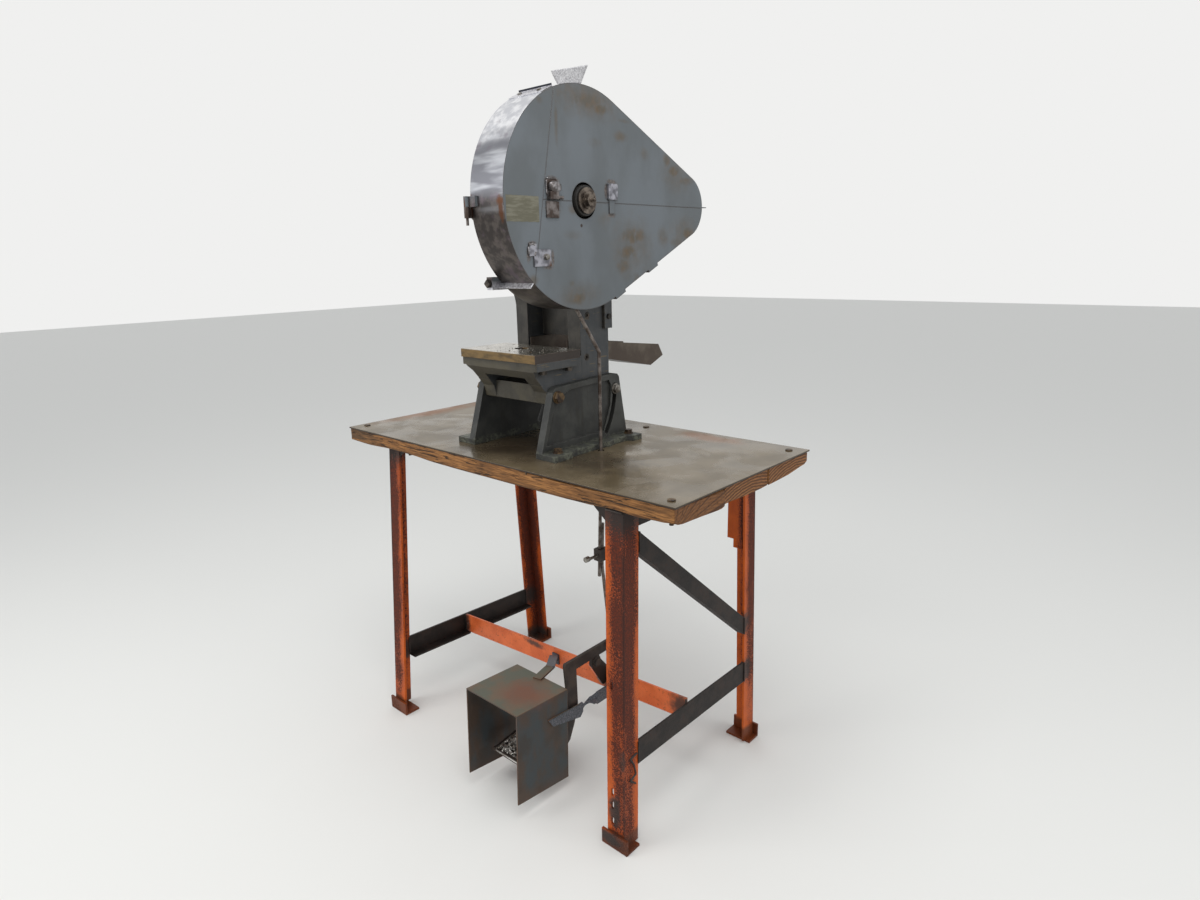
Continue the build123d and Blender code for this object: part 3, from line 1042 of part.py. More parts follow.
def on_rim(angle, radius):
    """Point of the guard's round rim at an angle from +Y, in degrees."""
    return SHAFT_Y + radius * cos(radians(angle)), SHAFT_Z + radius * sin(radians(angle))


guard_turn = asin((GUARD_R - NOSE_R) / (MOTOR_Y - SHAFT_Y))


def low_edge(y):
    """Height of the guard's lower slope at y."""
    start_y = SHAFT_Y + GUARD_R * sin(guard_turn)
    start_z = SHAFT_Z - GUARD_R * cos(guard_turn)
    return start_z + (y - start_y) * sin(guard_turn) / cos(guard_turn)


LOW_BOLT = (GUARD_BACK - 9.5, SHAFT_Y - GUARD_R + 47, SHAFT_Z - GUARD_R + 66)
with BuildPart() as guard_back:
    drop(GUARD_BACK, GUARD_IN, NOSE_IN, GUARD_SHEET)
    with BuildSketch(Plane.YZ.offset(GUARD_BACK)) as trim:
        with BuildLine():
            Polyline(*front_zone(0), close=True)
        make_face()
        with Locations((SHAFT_Y, SHAFT_Z)):
            Circle(GUARD_IN - 2 * FREE, mode=Mode.SUBTRACT)
    extrude(trim.sketch, amount=GUARD_SHEET, mode=Mode.SUBTRACT)
    disc(side_plane(GUARD_BACK, SHAFT_Y, SHAFT_Z), COLLAR_R + 1, GUARD_SHEET, Mode.SUBTRACT)
    disc(side_plane(GUARD_BACK, MOTOR_Y, SHAFT_Z), MOTOR_SHAFT_R + 6, GUARD_SHEET, Mode.SUBTRACT)
    for y, z in boss_screws:
        disc(side_plane(GUARD_BACK, y, z), 2.5, GUARD_SHEET, Mode.SUBTRACT)
    disc(side_plane(GUARD_BACK, *BRACKET_SCREWS[1]), 4, GUARD_SHEET, Mode.SUBTRACT)
    # Bracket for the square-headed bolt below the door
    x, y, z = LOW_BOLT
    block((GUARD_BACK - 18.5, y, z - 14), (GUARD_BACK, y + 23, z + 14))
    block((GUARD_BACK - 3, y, z - 14), (GUARD_BACK, y + 55, z + 14))
    disc(back_plane(x, y, z), 4, 12, Mode.SUBTRACT)
save(guard_back, "guard_back")

with BuildPart() as guard_upper:
    guard_shell(GUARD_BACK)
    plate(Plane.YZ.offset(GUARD_BACK), rear_zone(SPLIT_Z + SPLIT_GAP / 2, ROOM_HIGH), GUARD_DEPTH, Mode.INTERSECT)
    block((GUARD_FACE - 28.5, MOTOR_Y + NOSE_R - 1.5, SPLIT_Z + 1), (GUARD_FACE, MOTOR_Y + NOSE_R + 20, SPLIT_Z + 3))
    block((GUARD_FACE, SHAFT_Y + 78, SPLIT_Z + 7), (GUARD_FACE + 6.5, SHAFT_Y + 110, SPLIT_Z + 43))
    block((GUARD_FACE, SHAFT_Y + 84, SPLIT_Z - 24), (GUARD_FACE + 2.5, SHAFT_Y + 104, SPLIT_Z + 8))
save(guard_upper, "guard_upper")

STRAP_Z = SHAFT_Z - GUARD_R + 119
DOOR_SCREW = (SHAFT_Y - GUARD_R + 113, STRAP_Z + 2)
with BuildPart() as guard_lower:
    guard_shell(GUARD_BACK)
    plate(Plane.YZ.offset(GUARD_BACK), rear_zone(ROOM_LOW, SPLIT_Z - SPLIT_GAP / 2), GUARD_DEPTH, Mode.INTERSECT)
    rim_low = SHAFT_Z - GUARD_R
    block((LATCH_LEFT + 4.5, LATCH_FRONT + 15, rim_low - 15), (LATCH_LEFT + 36.5, LATCH_REAR + 27, rim_low + 25),
          Mode.SUBTRACT)
    disc(side_plane(GUARD_FACE, *DOOR_SCREW), 6, -GUARD_SHEET, Mode.SUBTRACT)
    for start, end in ((SHAFT_Y + 106, SHAFT_Y + 142), (SHAFT_Y + 235, SHAFT_Y + 272)):
        bar((GUARD_FACE - 12, start, low_edge(start) - 3), (GUARD_FACE - 12, end, low_edge(end) - 3),
            24, 8, (1, 0, 0))
save(guard_lower, "guard_lower")

# Lug, burnt plate and pin across the level seam
HASP_Y = SHAFT_Y - GUARD_R + 122
with BuildPart() as hasp:
    block((GUARD_FACE, HASP_Y, SPLIT_Z + 11), (GUARD_FACE + 3, HASP_Y + 34, SPLIT_Z + 42))
    block((GUARD_FACE, HASP_Y + 2, SPLIT_Z + 1), (GUARD_FACE + 12, HASP_Y + 28, SPLIT_Z + 17))
    block((GUARD_FACE, HASP_Y - 2, SPLIT_Z - 37), (GUARD_FACE + 3, HASP_Y + 36, SPLIT_Z - 3))
    disc(back_plane(GUARD_FACE + 7, HASP_Y + 2, SPLIT_Z + 5), 4, 42)
save(hasp, "hasp")

with BuildPart() as door_hinge:
    disc(up_plane(HINGE_X, HINGE_Y, HINGE_LOW), HINGE_R, HINGE_MIDDLE - HINGE_LOW)
    disc(up_plane(HINGE_X, HINGE_Y, HINGE_LOW - 15), HINGE_PIN_R, HINGE_HIGH - HINGE_LOW + 13)
    block((GUARD_BACK - 3, HINGE_Y, HINGE_LOW), (GUARD_BACK, HINGE_Y + 51, HINGE_MIDDLE))
save(door_hinge, "door_hinge")

STRAP_SHEET = 3
with BuildPart() as guard_door:
    guard_shell(GUARD_BACK + FREE)
    plate(Plane.YZ.offset(GUARD_BACK), front_zone(FREE), GUARD_DEPTH, Mode.INTERSECT)
    # Knuckle and leaf
    low = HINGE_MIDDLE + FREE
    disc(up_plane(HINGE_X, HINGE_Y, low), HINGE_R, HINGE_HIGH - low)
    block((HINGE_X, HINGE_Y + 2, low), (HINGE_X + 26, SHAFT_Y - GUARD_R + 1, HINGE_HIGH))
    disc(up_plane(HINGE_X, HINGE_Y, low), HINGE_PIN_R + RUN, HINGE_HIGH - low, Mode.SUBTRACT)
    # Out-turned flange at the bottom
    middle_x = (GUARD_BACK + FREE + GUARD_FACE) / 2
    bar((middle_x, *on_rim(226.4, GUARD_R - 1.5)), (middle_x, *on_rim(226.4, GUARD_R + 15)),
        GUARD_DEPTH - FREE, GUARD_SHEET, (1, 0, 0))
    # Doubling strip and lip at the top
    with BuildSketch(Plane.YZ.offset(GUARD_BACK + 2)) as strip:
        with BuildLine():
            ThreePointArc(on_rim(120, GUARD_R - 0.5), on_rim(115.6, GUARD_R - 0.5), on_rim(111.2, GUARD_R - 0.5))
            Line(on_rim(111.2, GUARD_R - 0.5), on_rim(111.2, GUARD_R + 7))
            Line(on_rim(111.2, GUARD_R + 7), on_rim(111.7, GUARD_R + 7))
            Line(on_rim(111.7, GUARD_R + 7), on_rim(111.7, GUARD_R + 2))
            ThreePointArc(on_rim(111.7, GUARD_R + 2), on_rim(115.6, GUARD_R + 2), on_rim(120, GUARD_R + 2))
            Line(on_rim(120, GUARD_R + 2), on_rim(120, GUARD_R - 0.5))
        make_face()
    extrude(strip.sketch, amount=GUARD_DEPTH - 4)
    # Strap over the seam with its weld on the door
    strap_low = STRAP_Z - 18
    strap_high = STRAP_Z + 18
    strap_seam = seam_y(STRAP_Z)
    strap_face = GUARD_FACE + FREE + STRAP_SHEET
    block((GUARD_FACE - 0.5, DOOR_SCREW[0] - 49, strap_high - 14), (strap_face, strap_seam - 3, strap_high + 12))
    block((GUARD_FACE - 0.5, strap_seam - 12, strap_low), (strap_face, strap_seam - 4, strap_high))
    block((GUARD_FACE + FREE, strap_seam - 5, strap_low), (strap_face, DOOR_SCREW[0] + 15, strap_high))
    disc(side_plane(GUARD_FACE, *DOOR_SCREW), 3, 5, Mode.SUBTRACT)
save(guard_door, "guard_door")

with BuildPart() as door_screws:
    bolt(side_plane(GUARD_FACE + FREE + STRAP_SHEET, *DOOR_SCREW), 3, 5, 11, 5, 7, 1)
    for x in (GUARD_BACK + 21.5, GUARD_FACE - 22.5):
        y, z = on_rim(116, GUARD_R + 2)
        outward = (0, cos(radians(116)), sin(radians(116)))
        disc(Plane(origin=(x, y, z), x_dir=(1, 0, 0), z_dir=outward), 5, 2.5)
save(door_screws, "door_screws")

# Loose strip of sheet bent up from the guard's top
with BuildPart() as top_flap:
    flap_foot = (GUARD_FACE - 8.5, SHAFT_Y - 58, SHAFT_Z + GUARD_R - 7)
    flap_plane = Plane(origin=flap_foot, x_dir=(0, 1, 0), z_dir=(0.789, 0, 0.614))
    plate(flap_plane, [(-30, -6), (32, 2), (50, 55), (-38, 40)], 1.5)
    drop(GUARD_BACK, GUARD_R, NOSE_R, GUARD_DEPTH, Mode.SUBTRACT)
save(top_flap, "top_flap")

# Block that carries the guard's back plate on the column's side
with BuildPart() as guard_bracket:
    block((FRAME_X, COLUMN_REAR - 23, SHAFT_Z - 306), (GUARD_BACK, COLUMN_REAR + 6, SHAFT_Z - 145))
    disc(side_plane(GUARD_BACK, *BRACKET_SCREWS[0]), 4, FRAME_X - GUARD_BACK, Mode.SUBTRACT)
    disc(side_plane(GUARD_BACK, *BRACKET_SCREWS[1]), 4, FRAME_X - GUARD_BACK, Mode.SUBTRACT)
save(guard_bracket, "guard_bracket")

# Clutch latch above the rod, its guide and its spring
LATCH_WALL = 6
LATCH_PIN_Z = SHAFT_Z - 75
GUIDE_LOW = SHAFT_Z - 162
GUIDE_HEIGHT = 20
with BuildPart() as trip_latch:
    start = slant_point(ROD_TOP_Z + 1.5)
    run = Vector(*SLANT_END) - Vector(*start)
    disc(Plane(origin=start, z_dir=run), ROD_R, run.length)
    block((LATCH_LEFT, LATCH_FRONT, SLANT_END[2] - 6), (LATCH_LEFT + LATCH_WALL, LATCH_REAR, SHAFT_Z - 43))
    disc(side_plane(LATCH_LEFT + LATCH_WALL - 1, LATCH_Y, LATCH_PIN_Z), 2, 9)
save(trip_latch, "trip_latch")

with BuildPart() as trip_guide:
    low_x = GUARD_BACK + GUARD_SHEET
    guide_top = GUIDE_LOW + GUIDE_HEIGHT
    latch_right = LATCH_LEFT + LATCH_WALL
    block((low_x, LATCH_FRONT - 8, GUIDE_LOW), (latch_right + 5, LATCH_REAR + 8, guide_top))
    block((LATCH_LEFT - FREE, LATCH_FRONT - FREE, GUIDE_LOW), (latch_right + FREE, LATCH_REAR + FREE, guide_top),
          Mode.SUBTRACT)
    disc(side_plane(latch_right + 4, LATCH_Y, GUIDE_LOW + GUIDE_HEIGHT / 2), 2, 5)
save(trip_guide, "trip_guide")

SPRING_X = LATCH_LEFT + LATCH_WALL + 5
with BuildPart() as latch_spring:
    spring_low = GUIDE_LOW + GUIDE_HEIGHT + 1
    with BuildLine() as coil:
        Helix(pitch=7, height=LATCH_PIN_Z - spring_low - 3, radius=3.4, center=(SPRING_X, LATCH_Y, spring_low))
    with BuildSketch(Plane(origin=coil.line @ 0, z_dir=coil.line % 0)) as wire:
        Circle(0.7)
    sweep(wire.sketch, path=coil.line)
save(latch_spring, "latch_spring")

# Sheet chute between the uprights: a trough whose sides run past its floor
with BuildPart() as chute:
    tail_y = CHUTE_TAIL - 60
    tail_z = chute_floor(tail_y)
    side_wall = [(CHUTE_HEAD, chute_floor(CHUTE_HEAD)), (tail_y, tail_z), (CHUTE_TAIL, tail_z + 24),
                 (CHUTE_TAIL - 22, tail_z + 59), (CHUTE_HEAD, PASSAGE_TOP - 5)]
    plate(Plane.YZ.offset(-CHUTE_HALF), side_wall, 2 * CHUTE_HALF)
    hollow = [(CHUTE_HEAD - 15, chute_floor(CHUTE_HEAD - 15) + CHUTE_SHEET), (tail_y, tail_z + CHUTE_SHEET),
              (tail_y, tail_z - 18), (CHUTE_TAIL + 20, tail_z - 18), (CHUTE_TAIL + 20, PASSAGE_TOP + 20),
              (CHUTE_HEAD - 15, PASSAGE_TOP + 20)]
    plate(Plane.YZ.offset(-CHUTE_HALF + CHUTE_SHEET), hollow, 2 * CHUTE_HALF - 2 * CHUTE_SHEET, Mode.SUBTRACT)
save(chute, "chute")

# Screws of the frame: gibs, sides, guard bracket, guard back, bolster, motor mount and motor
with BuildPart() as frame_screws:
    for x, z in GIB_SCREWS:
        disc(back_plane(x, GIB_FRONT, z, -1), 5, 4)
        disc(back_plane(x, GIB_FRONT, z), 3, WING_FRONT - GIB_FRONT)
    for side in (-1, 1):
        for y, z in SIDE_SCREWS:
            with BuildSketch(side_plane(side * (FRAME_X - 4), y, z, side)) as head:
                Circle(8.5)
                RegularPolygon(4, 6, major_radius=False, mode=Mode.SUBTRACT)
            extrude(head.sketch, amount=3.8)
            disc(side_plane(side * (FRAME_X - 4), y, z, -side), 5, 15)
    bolt(side_plane(GUARD_BACK, *BRACKET_SCREWS[0]), 4, GUARD_BACK - FRAME_X, 13, 5)
    bolt(side_plane(GUARD_BACK + GUARD_SHEET, *BRACKET_SCREWS[1]), 4, GUARD_BACK + GUARD_SHEET - FRAME_X, 13, 5)
    for y, z in boss_screws:
        bolt(side_plane(GUARD_BACK + GUARD_SHEET, y, z), 2.5, GUARD_SHEET, 8, 3)
    for x, z in MOUNT_SCREWS:
        bolt(back_plane(x, COLUMN_REAR + 12, z), 5, 30, 16, 7)
    bolt(back_plane(*LOW_BOLT, -1), 4, 11, 13, 7, 9, 1.5, sides=4)
    for x, y in BOLSTER_STUDS:
        bolt(up_plane(x, y, BED_Z - BED_FLANGE, -1), 5, BED_FLANGE + BOLSTER - 8, 16, 8, 10, 2)
    for x, y in FOOT_BOLTS:
        bolt(up_plane(x, y, SHELF_Z + 10), 4, 28, 13, 5)
        with BuildSketch(up_plane(x, y, SHELF_Z - 12, -1)) as nut:
            RegularPolygon(6.5, 6, major_radius=False)
        extrude(nut.sketch, amount=6)
save(frame_screws, "frame_screws")
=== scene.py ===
"""Looks of the bench punch press: camera, lights, floor, materials and the small pieces of the surface."""
import math
import random

import bpy
from mathutils import Matrix, Vector, noise


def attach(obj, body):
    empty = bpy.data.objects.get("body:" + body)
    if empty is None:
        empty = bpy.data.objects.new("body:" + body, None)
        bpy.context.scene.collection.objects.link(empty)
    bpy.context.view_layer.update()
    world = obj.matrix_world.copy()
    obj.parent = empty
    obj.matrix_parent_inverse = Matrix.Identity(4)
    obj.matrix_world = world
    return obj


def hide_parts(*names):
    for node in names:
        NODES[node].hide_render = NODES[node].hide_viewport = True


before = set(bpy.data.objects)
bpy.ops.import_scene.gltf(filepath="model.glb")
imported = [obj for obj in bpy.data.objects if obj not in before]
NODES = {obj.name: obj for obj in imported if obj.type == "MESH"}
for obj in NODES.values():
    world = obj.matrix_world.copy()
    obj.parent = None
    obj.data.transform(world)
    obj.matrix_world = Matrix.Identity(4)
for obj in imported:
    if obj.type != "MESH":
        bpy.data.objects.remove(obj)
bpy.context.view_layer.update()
MM = 0.001

# Camera
CAMERA_PLACE = (1435.0, -1422.3, 1385.1)
CAMERA_YAW = math.radians(42.011)
CAMERA_PITCH = math.radians(14.579)
CAMERA_ROLL = math.radians(-1.265)
IMAGE_WIDTH = 1200
FOCAL_PIXELS = 745
SENSOR = 36


def place_camera():
    """Camera at the photograph's point and angle."""
    yaw, pitch, roll = CAMERA_YAW, CAMERA_PITCH, CAMERA_ROLL
    forward = Vector((-math.sin(yaw) * math.cos(pitch), math.cos(yaw) * math.cos(pitch), -math.sin(pitch)))
    level = Vector((math.cos(yaw), math.sin(yaw), 0))
    upright = level.cross(forward)
    right = level * math.cos(roll) + upright * math.sin(roll)
    up = upright * math.cos(roll) - level * math.sin(roll)
    data = bpy.data.cameras.new("camera")
    data.sensor_width = SENSOR
    data.lens = FOCAL_PIXELS / IMAGE_WIDTH * SENSOR
    camera = bpy.data.objects.new("camera", data)
    bpy.context.scene.collection.objects.link(camera)
    turn = Matrix((right, up, -forward)).transposed().to_4x4()
    camera.matrix_world = Matrix.Translation(Vector(CAMERA_PLACE) * MM) @ turn
    bpy.context.scene.camera = camera


place_camera()


def paint(red, green, blue):
    """Linear colour of a display colour given in 0..255."""
    def linear(c):
        c /= 255
        return c / 12.92 if c <= 0.04045 else ((c + 0.055) / 1.055) ** 2.4
    return (linear(red), linear(green), linear(blue), 1)


class Look:
    """Node tree of one material. Places and sizes are in millimetres in the part's frame."""

    def __init__(self, name):
        self.material = bpy.data.materials.new(name)
        self.material.use_nodes = True
        self.tree = self.material.node_tree
        self.tree.nodes.clear()
        output = self.node("ShaderNodeOutputMaterial")
        self.shader = self.node("ShaderNodeBsdfPrincipled")
        self.tree.links.new(self.shader.outputs[0], output.inputs[0])
        coordinates = self.node("ShaderNodeTexCoord")
        scaled = self.node("ShaderNodeVectorMath", operation="SCALE")
        self.tree.links.new(coordinates.outputs["Object"], scaled.inputs[0])
        scaled.inputs["Scale"].default_value = 1 / MM
        self.place = scaled.outputs[0]
        self.facing = coordinates.outputs["Normal"]

    def node(self, kind, **settings):
        made = self.tree.nodes.new(kind)
        for key, value in settings.items():
            setattr(made, key, value)
        return made

    def put(self, socket, value):
        """Link a socket to another one or set it to a plain value."""
        if isinstance(value, bpy.types.NodeSocket):
            self.tree.links.new(value, socket)
        else:
            socket.default_value = value

    def math(self, operation, a, b=0.0):
        made = self.node("ShaderNodeMath", operation=operation)
        self.put(made.inputs[0], a)
        self.put(made.inputs[1], b)
        return made.outputs[0]

    def vector(self, operation, a, b=(0, 0, 0)):
        made = self.node("ShaderNodeVectorMath", operation=operation)
        self.put(made.inputs[0], a)
        self.put(made.inputs[1], b)
        return made.outputs["Value" if operation in ("LENGTH", "DOT_PRODUCT") else "Vector"]

    def axis(self, index, vector=None):
        """Part of a vector, or of the place: 0 for X, 1 for Y and 2 for Z."""
        made = self.node("ShaderNodeSeparateXYZ")
        self.put(made.inputs[0], vector or self.place)
        return made.outputs[index]

    def moved(self, stretch, shift):
        """Place divided by the stretch after a shift."""
        return self.vector("DIVIDE", self.vector("ADD", self.place, shift), stretch)

    def noise(self, size, detail=3.0, rough=0.55, stretch=(1, 1, 1), shift=(0, 0, 0), twist=0.0):
        """Cloud noise whose lumps are about size millimetres."""
        made = self.node("ShaderNodeTexNoise")
        self.put(made.inputs["Vector"], self.moved(stretch, shift))
        made.inputs["Scale"].default_value = 1 / size
        made.inputs["Detail"].default_value = detail
        made.inputs["Roughness"].default_value = rough
        made.inputs["Distortion"].default_value = twist
        return made.outputs["Fac"]

    def step(self, value, low, high):
        """0 below low, 1 above high, smooth between. Works downwards too."""
        made = self.node("ShaderNodeMapRange", interpolation_type="SMOOTHSTEP", clamp=True)
        self.put(made.inputs["Value"], value)
        if low < high:
            ends = (low, high, 0, 1)
        else:
            ends = (high, low, 1, 0)
        for name, number in zip(("From Min", "From Max", "To Min", "To Max"), ends):
            made.inputs[name].default_value = number
        return made.outputs["Result"]

    def mix(self, share, a, b):
        """Colour a where the share is 0 and b where it is 1."""
        made = self.node("ShaderNodeMix", data_type="RGBA")
        self.put(made.inputs[0], share)
        self.put(made.inputs[6], a)
        self.put(made.inputs[7], b)
        return made.outputs[2]

    def over(self, share, strength, under, top):
        """Colour with another one laid over it by a share times a strength."""
        return self.mix(self.times(share, strength), under, top)

    def tones(self, value, low, high, first, second):
        """First display colour below low and the second one above high."""
        return self.mix(self.step(value, low, high), paint(*first), paint(*second))

    def plus(self, value, other, factor=1.0):
        """Value with another one added, times a factor."""
        if factor != 1.0:
            other = self.times(other, factor)
        return self.math("ADD", value, other)

    def sideways(self):
        """1 on faces square to the X axis, 0 on those along it."""
        return self.math("ABSOLUTE", self.axis(0, self.facing))

    def near(self, point, radii, soft=0.5, rag=0.0, rag_size=20):
        """Share that is 1 at a point and 0 beyond the radii, with a ragged edge."""
        distance = self.vector("LENGTH", self.moved(radii, tuple(-c for c in point)))
        if rag:
            ragged = self.math("MULTIPLY_ADD", self.noise(rag_size, 4), rag)
            ragged.node.inputs[2].default_value = -rag / 2
            distance = self.math("ADD", distance, ragged)
        return self.step(distance, 1, 1 - soft)

    def most(self, *shares):
        """Largest of some shares."""
        found = shares[0]
        for share in shares[1:]:
            found = self.math("MAXIMUM", found, share)
        return found

    def times(self, *shares):
        """Product of some shares."""
        found = shares[0]
        for share in shares[1:]:
            found = self.math("MULTIPLY", found, share)
        return found

    def bevel(self, radius):
        """Normal as if the edges were rounded to a radius."""
        made = self.node("ShaderNodeBevel", samples=4)
        made.inputs["Radius"].default_value = radius * MM
        return made.outputs[0]

    def edge(self, radius, low, high):
        """Share that is 1 on sharp edges."""
        geometry = self.node("ShaderNodeNewGeometry")
        dot = self.vector("DOT_PRODUCT", self.bevel(radius), geometry.outputs["Normal"])
        return self.step(self.math("SUBTRACT", 1, dot), low, high)

    def close(self, reach):
        """Share that is 1 in corners and crevices, from ambient occlusion, for painting shade into them."""
        made = self.node("ShaderNodeAmbientOcclusion", samples=4, only_local=True)
        made.inputs["Distance"].default_value = reach * MM
        return self.step(made.outputs["AO"], 0.95, 0.5)

    def finish(self, color, rough, metal=0.0, heights=(), round_edge=0.0, gloss=0.5):
        """Set the shader: heights are (height, depth in mm) pairs."""
        self.shader.inputs["Specular IOR Level"].default_value = gloss
        self.put(self.shader.inputs["Base Color"], color)
        self.put(self.shader.inputs["Roughness"], rough)
        self.put(self.shader.inputs["Metallic"], metal)
        normal = self.bevel(round_edge) if round_edge else None
        for height, depth in heights:
            bump = self.node("ShaderNodeBump")
            bump.inputs["Distance"].default_value = depth * MM
            self.put(bump.inputs["Height"], height)
            if normal:
                self.put(bump.inputs["Normal"], normal)
            normal = bump.outputs[0]
        if normal:
            self.put(self.shader.inputs["Normal"], normal)
        return self.material


def wear(material, *nodes):
    """Give CAD nodes one material in all their slots."""
    for node in nodes:
        for slot in NODES[node].material_slots:
            slot.material = material


# Places of the part that the looks follow
TABLE_TOP = 900
SHAFT_Y, SHAFT_Z = -122, 1507.5
GUARD_R = 242
GUARD_FACE = 232.5
BED_FRONT_TOP = 1150
STAND_FOOT_TOP = 922
BOX_SIDE_X = 205
BOX_TOP = 296
TIE_LUG_X = (174, 195)

# Legs: the corner's X at the left and right, and each corner's Y at the foot and at the top
LEG_TOP = 855
LEG_WIDTH = 52
LEFT_X, RIGHT_X = -475.5, 468.5
FRONT_LEFT_Y = (-304, -240)
REAR_LEFT_Y = (324, 287)
FRONT_RIGHT_Y = (-294, -280)
REAR_RIGHT_Y = (300, 266)
# Pairs of heights on the legs, where a mark starts and where it is full: scuffs, burnt paint, brown foot
LEG_SCUFFED = (420, 60)
LEG_BURNT = (820, 880)
LEG_FOOT = (72, 56)

# Heights of the front plank's and the right ends' edges: (place, height)
PLANK_LOW, PLANK_TOP = 861, 896
PITH_Z = 800
FRONT_LOW = ((-609, 861), (-515, 858.6), (-393, 863), (-303, 862), (-177, 857), (-85, 856), (13, 855.8),
             (128, 855.6), (286, 855.5), (368, 856.7), (436, 861), (513, 858), (570, 861), (606, 864))
FRONT_TOP = ((165, 896), (185, 894), (236, 892.6), (288, 891), (364, 892), (437, 894), (505, 896))
RIGHT_LOW = ((-286, 864), (-263, 856), (-234, 856), (-177, 852.6), (-117, 849), (-92, 854), (-63, 854),
             (26, 850), (106, 852.5), (191, 855), (269, 863), (286, 869))
RIGHT_TOP = ((-286, 896), (-235, 894), (-92, 890), (-85, 895), (99, 893), (110, 896), (284, 892.4))
EDGE_REACH = 22

# A plank's skin: steps along it, offsets in from its edges, shares up its faces and rounding of its corners
PLANK_STEPS = 150
PLANK_CHAMFER = 1.5
END_INSET = 1.2
TOP_GAP = 0.2
EDGE_OFFSETS = (0, 2, 6, 14, 30)
SIDE_SHARES = (0.12, 0.3, 0.5, 0.7, 0.88)
LOW_ROUND, TOP_ROUND = 1.6, 1.4


def orange_leg(name, corner_x, foot_y, top_y, bare, marks=()):
    """Orange paint worn to rust between the flanges' free edges, burnt by the welds."""
    look = Look(name)
    fine = look.noise(4, 5, 0.75)
    broad = look.noise(70, 4, 0.55, stretch=(1, 1, 2.2))
    height = look.axis(2)
    lean = look.times(height, (top_y - foot_y) / LEG_TOP)
    depth = look.math("SUBTRACT", look.plus(look.axis(1), -foot_y), lean)
    across = look.plus(look.axis(0), -corner_x)
    from_corner = look.most(look.math("ABSOLUTE", depth), look.math("ABSOLUTE", across))
    orange = look.mix(look.noise(26, 3), paint(204, 94, 18), paint(168, 71, 12))
    rust = look.tones(fine, 0.35, 0.62, (104, 40, 14), (60, 27, 18))
    value = look.plus(look.times(broad, 0.6), fine, 0.85)
    value = look.plus(value, look.step(from_corner, 22, LEG_WIDTH), -0.24)
    value = look.plus(value, look.step(height, *LEG_SCUFFED), -0.1)
    share = look.step(value, bare - 0.04, bare + 0.06)
    stain = look.step(value, bare - 0.16, bare - 0.04)
    color = look.over(stain, 0.7, orange, paint(140, 56, 16))
    color = look.mix(share, color, rust)
    line = look.times(look.step(from_corner, 7, 0), look.step(broad, 0.3, 0.5))
    color = look.over(line, 0.75, color, paint(46, 26, 20))
    burnt = look.step(look.plus(height, fine, 90), *LEG_BURNT)
    foot = look.step(look.plus(height, broad, 40), *LEG_FOOT)
    color = look.over(foot, 0.85, color, paint(84, 44, 24))
    spots = [look.near(point, radii, 0.6, 0.9, 12) for point, radii in marks]
    burnt = look.most(burnt, *spots)
    color = look.over(burnt, 0.93, color, look.mix(fine, paint(24, 20, 19), paint(58, 50, 46)))
    rough = look.plus(0.42, share, 0.25)
    return look.finish(color, rough, 0.0, [(fine, 0.35), (share, 0.2)], 1.2, 0.25)


def dark_steel(name, base=(25, 20, 18), light=(56, 45, 39), rust=(66, 38, 26), amount=0.62):
    """Oily, rusted mill steel."""
    look = Look(name)
    fine = look.noise(5, 5, 0.7)
    broad = look.noise(45, 4, 0.6)
    middle = [(a + b) / 2 for a, b in zip(base, light)]
    color = look.tones(broad, 0.35, 0.65, base, middle)
    spots = look.times(look.step(fine, 0.5, 0.75), look.step(broad, amount - 0.12, amount))
    color = look.mix(spots, color, paint(*rust))
    color = look.over(look.edge(3, 0.01, 0.2), 0.5, color, paint(*light))
    return look.finish(color, look.plus(0.42, fine, 0.3), 0.0, [(fine, 0.3)], 1.0, 0.3)


def casting(name, base, light, oil, blue=0.0, pale_foot=False):
    """Old paint on cast iron: rough skin, scraped edges, oily streaks and painted shade in the corners."""
    look = Look(name)
    grain = look.noise(2.2, 3, 0.6)
    cloud = look.noise(60, 4, 0.55)
    streak = look.noise(14, 3, 0.6, stretch=(1, 1, 9))
    paler = [0.6 * a + 0.4 * b for a, b in zip(base, light)]
    color = look.tones(cloud, 0.35, 0.65, base, paler)
    color = look.over(look.step(streak, 0.5, 0.72), 0.6, color, paint(*oil))
    if blue:
        right = look.step(look.axis(0, look.facing), 0.5, 0.9)
        color = look.over(right, blue, color, paint(74, 80, 86))
        front = look.times(look.step(look.axis(1, look.facing), -0.5, -0.9),
                           look.step(look.axis(2), BED_FRONT_TOP, BED_FRONT_TOP - 30))
        color = look.over(front, 0.7, color, look.tones(cloud, 0.4, 0.6, (84, 78, 62), (62, 58, 48)))
        scrape = look.noise(5, 4, 0.6, stretch=(1, 12, 1), shift=(0, 30, 0))
        scrape = look.times(look.step(scrape, 0.62, 0.68), right)
        color = look.over(scrape, 0.7, color, paint(112, 98, 70))
    if pale_foot:
        low = look.step(look.axis(2), STAND_FOOT_TOP, STAND_FOOT_TOP - 6)
        color = look.over(look.times(low, look.step(look.noise(40, 4), 0.35, 0.6)), 0.85, color,
                         look.tones(look.noise(9, 5, 0.7), 0.4, 0.6, (104, 106, 92), (50, 50, 45)))
    chips = look.step(look.noise(8, 6, 0.75), 0.66, 0.70)
    scraped = look.most(look.times(look.edge(4, 0.01, 0.18), look.step(look.noise(22, 4), 0.40, 0.56)),
                        look.times(chips, 0.6))
    color = look.over(scraped, 0.6, color, paint(*light))
    # Painted shade: corners and crevices darkened from ambient occlusion.
    color = look.over(look.close(30), 0.65, color, paint(26, 25, 23))
    rough = look.plus(0.34, look.noise(35, 4), 0.35)
    return look.finish(color, rough, 0.0, [(grain, 0.22), (look.noise(16, 3), 0.5)], 2.5, 0.35)


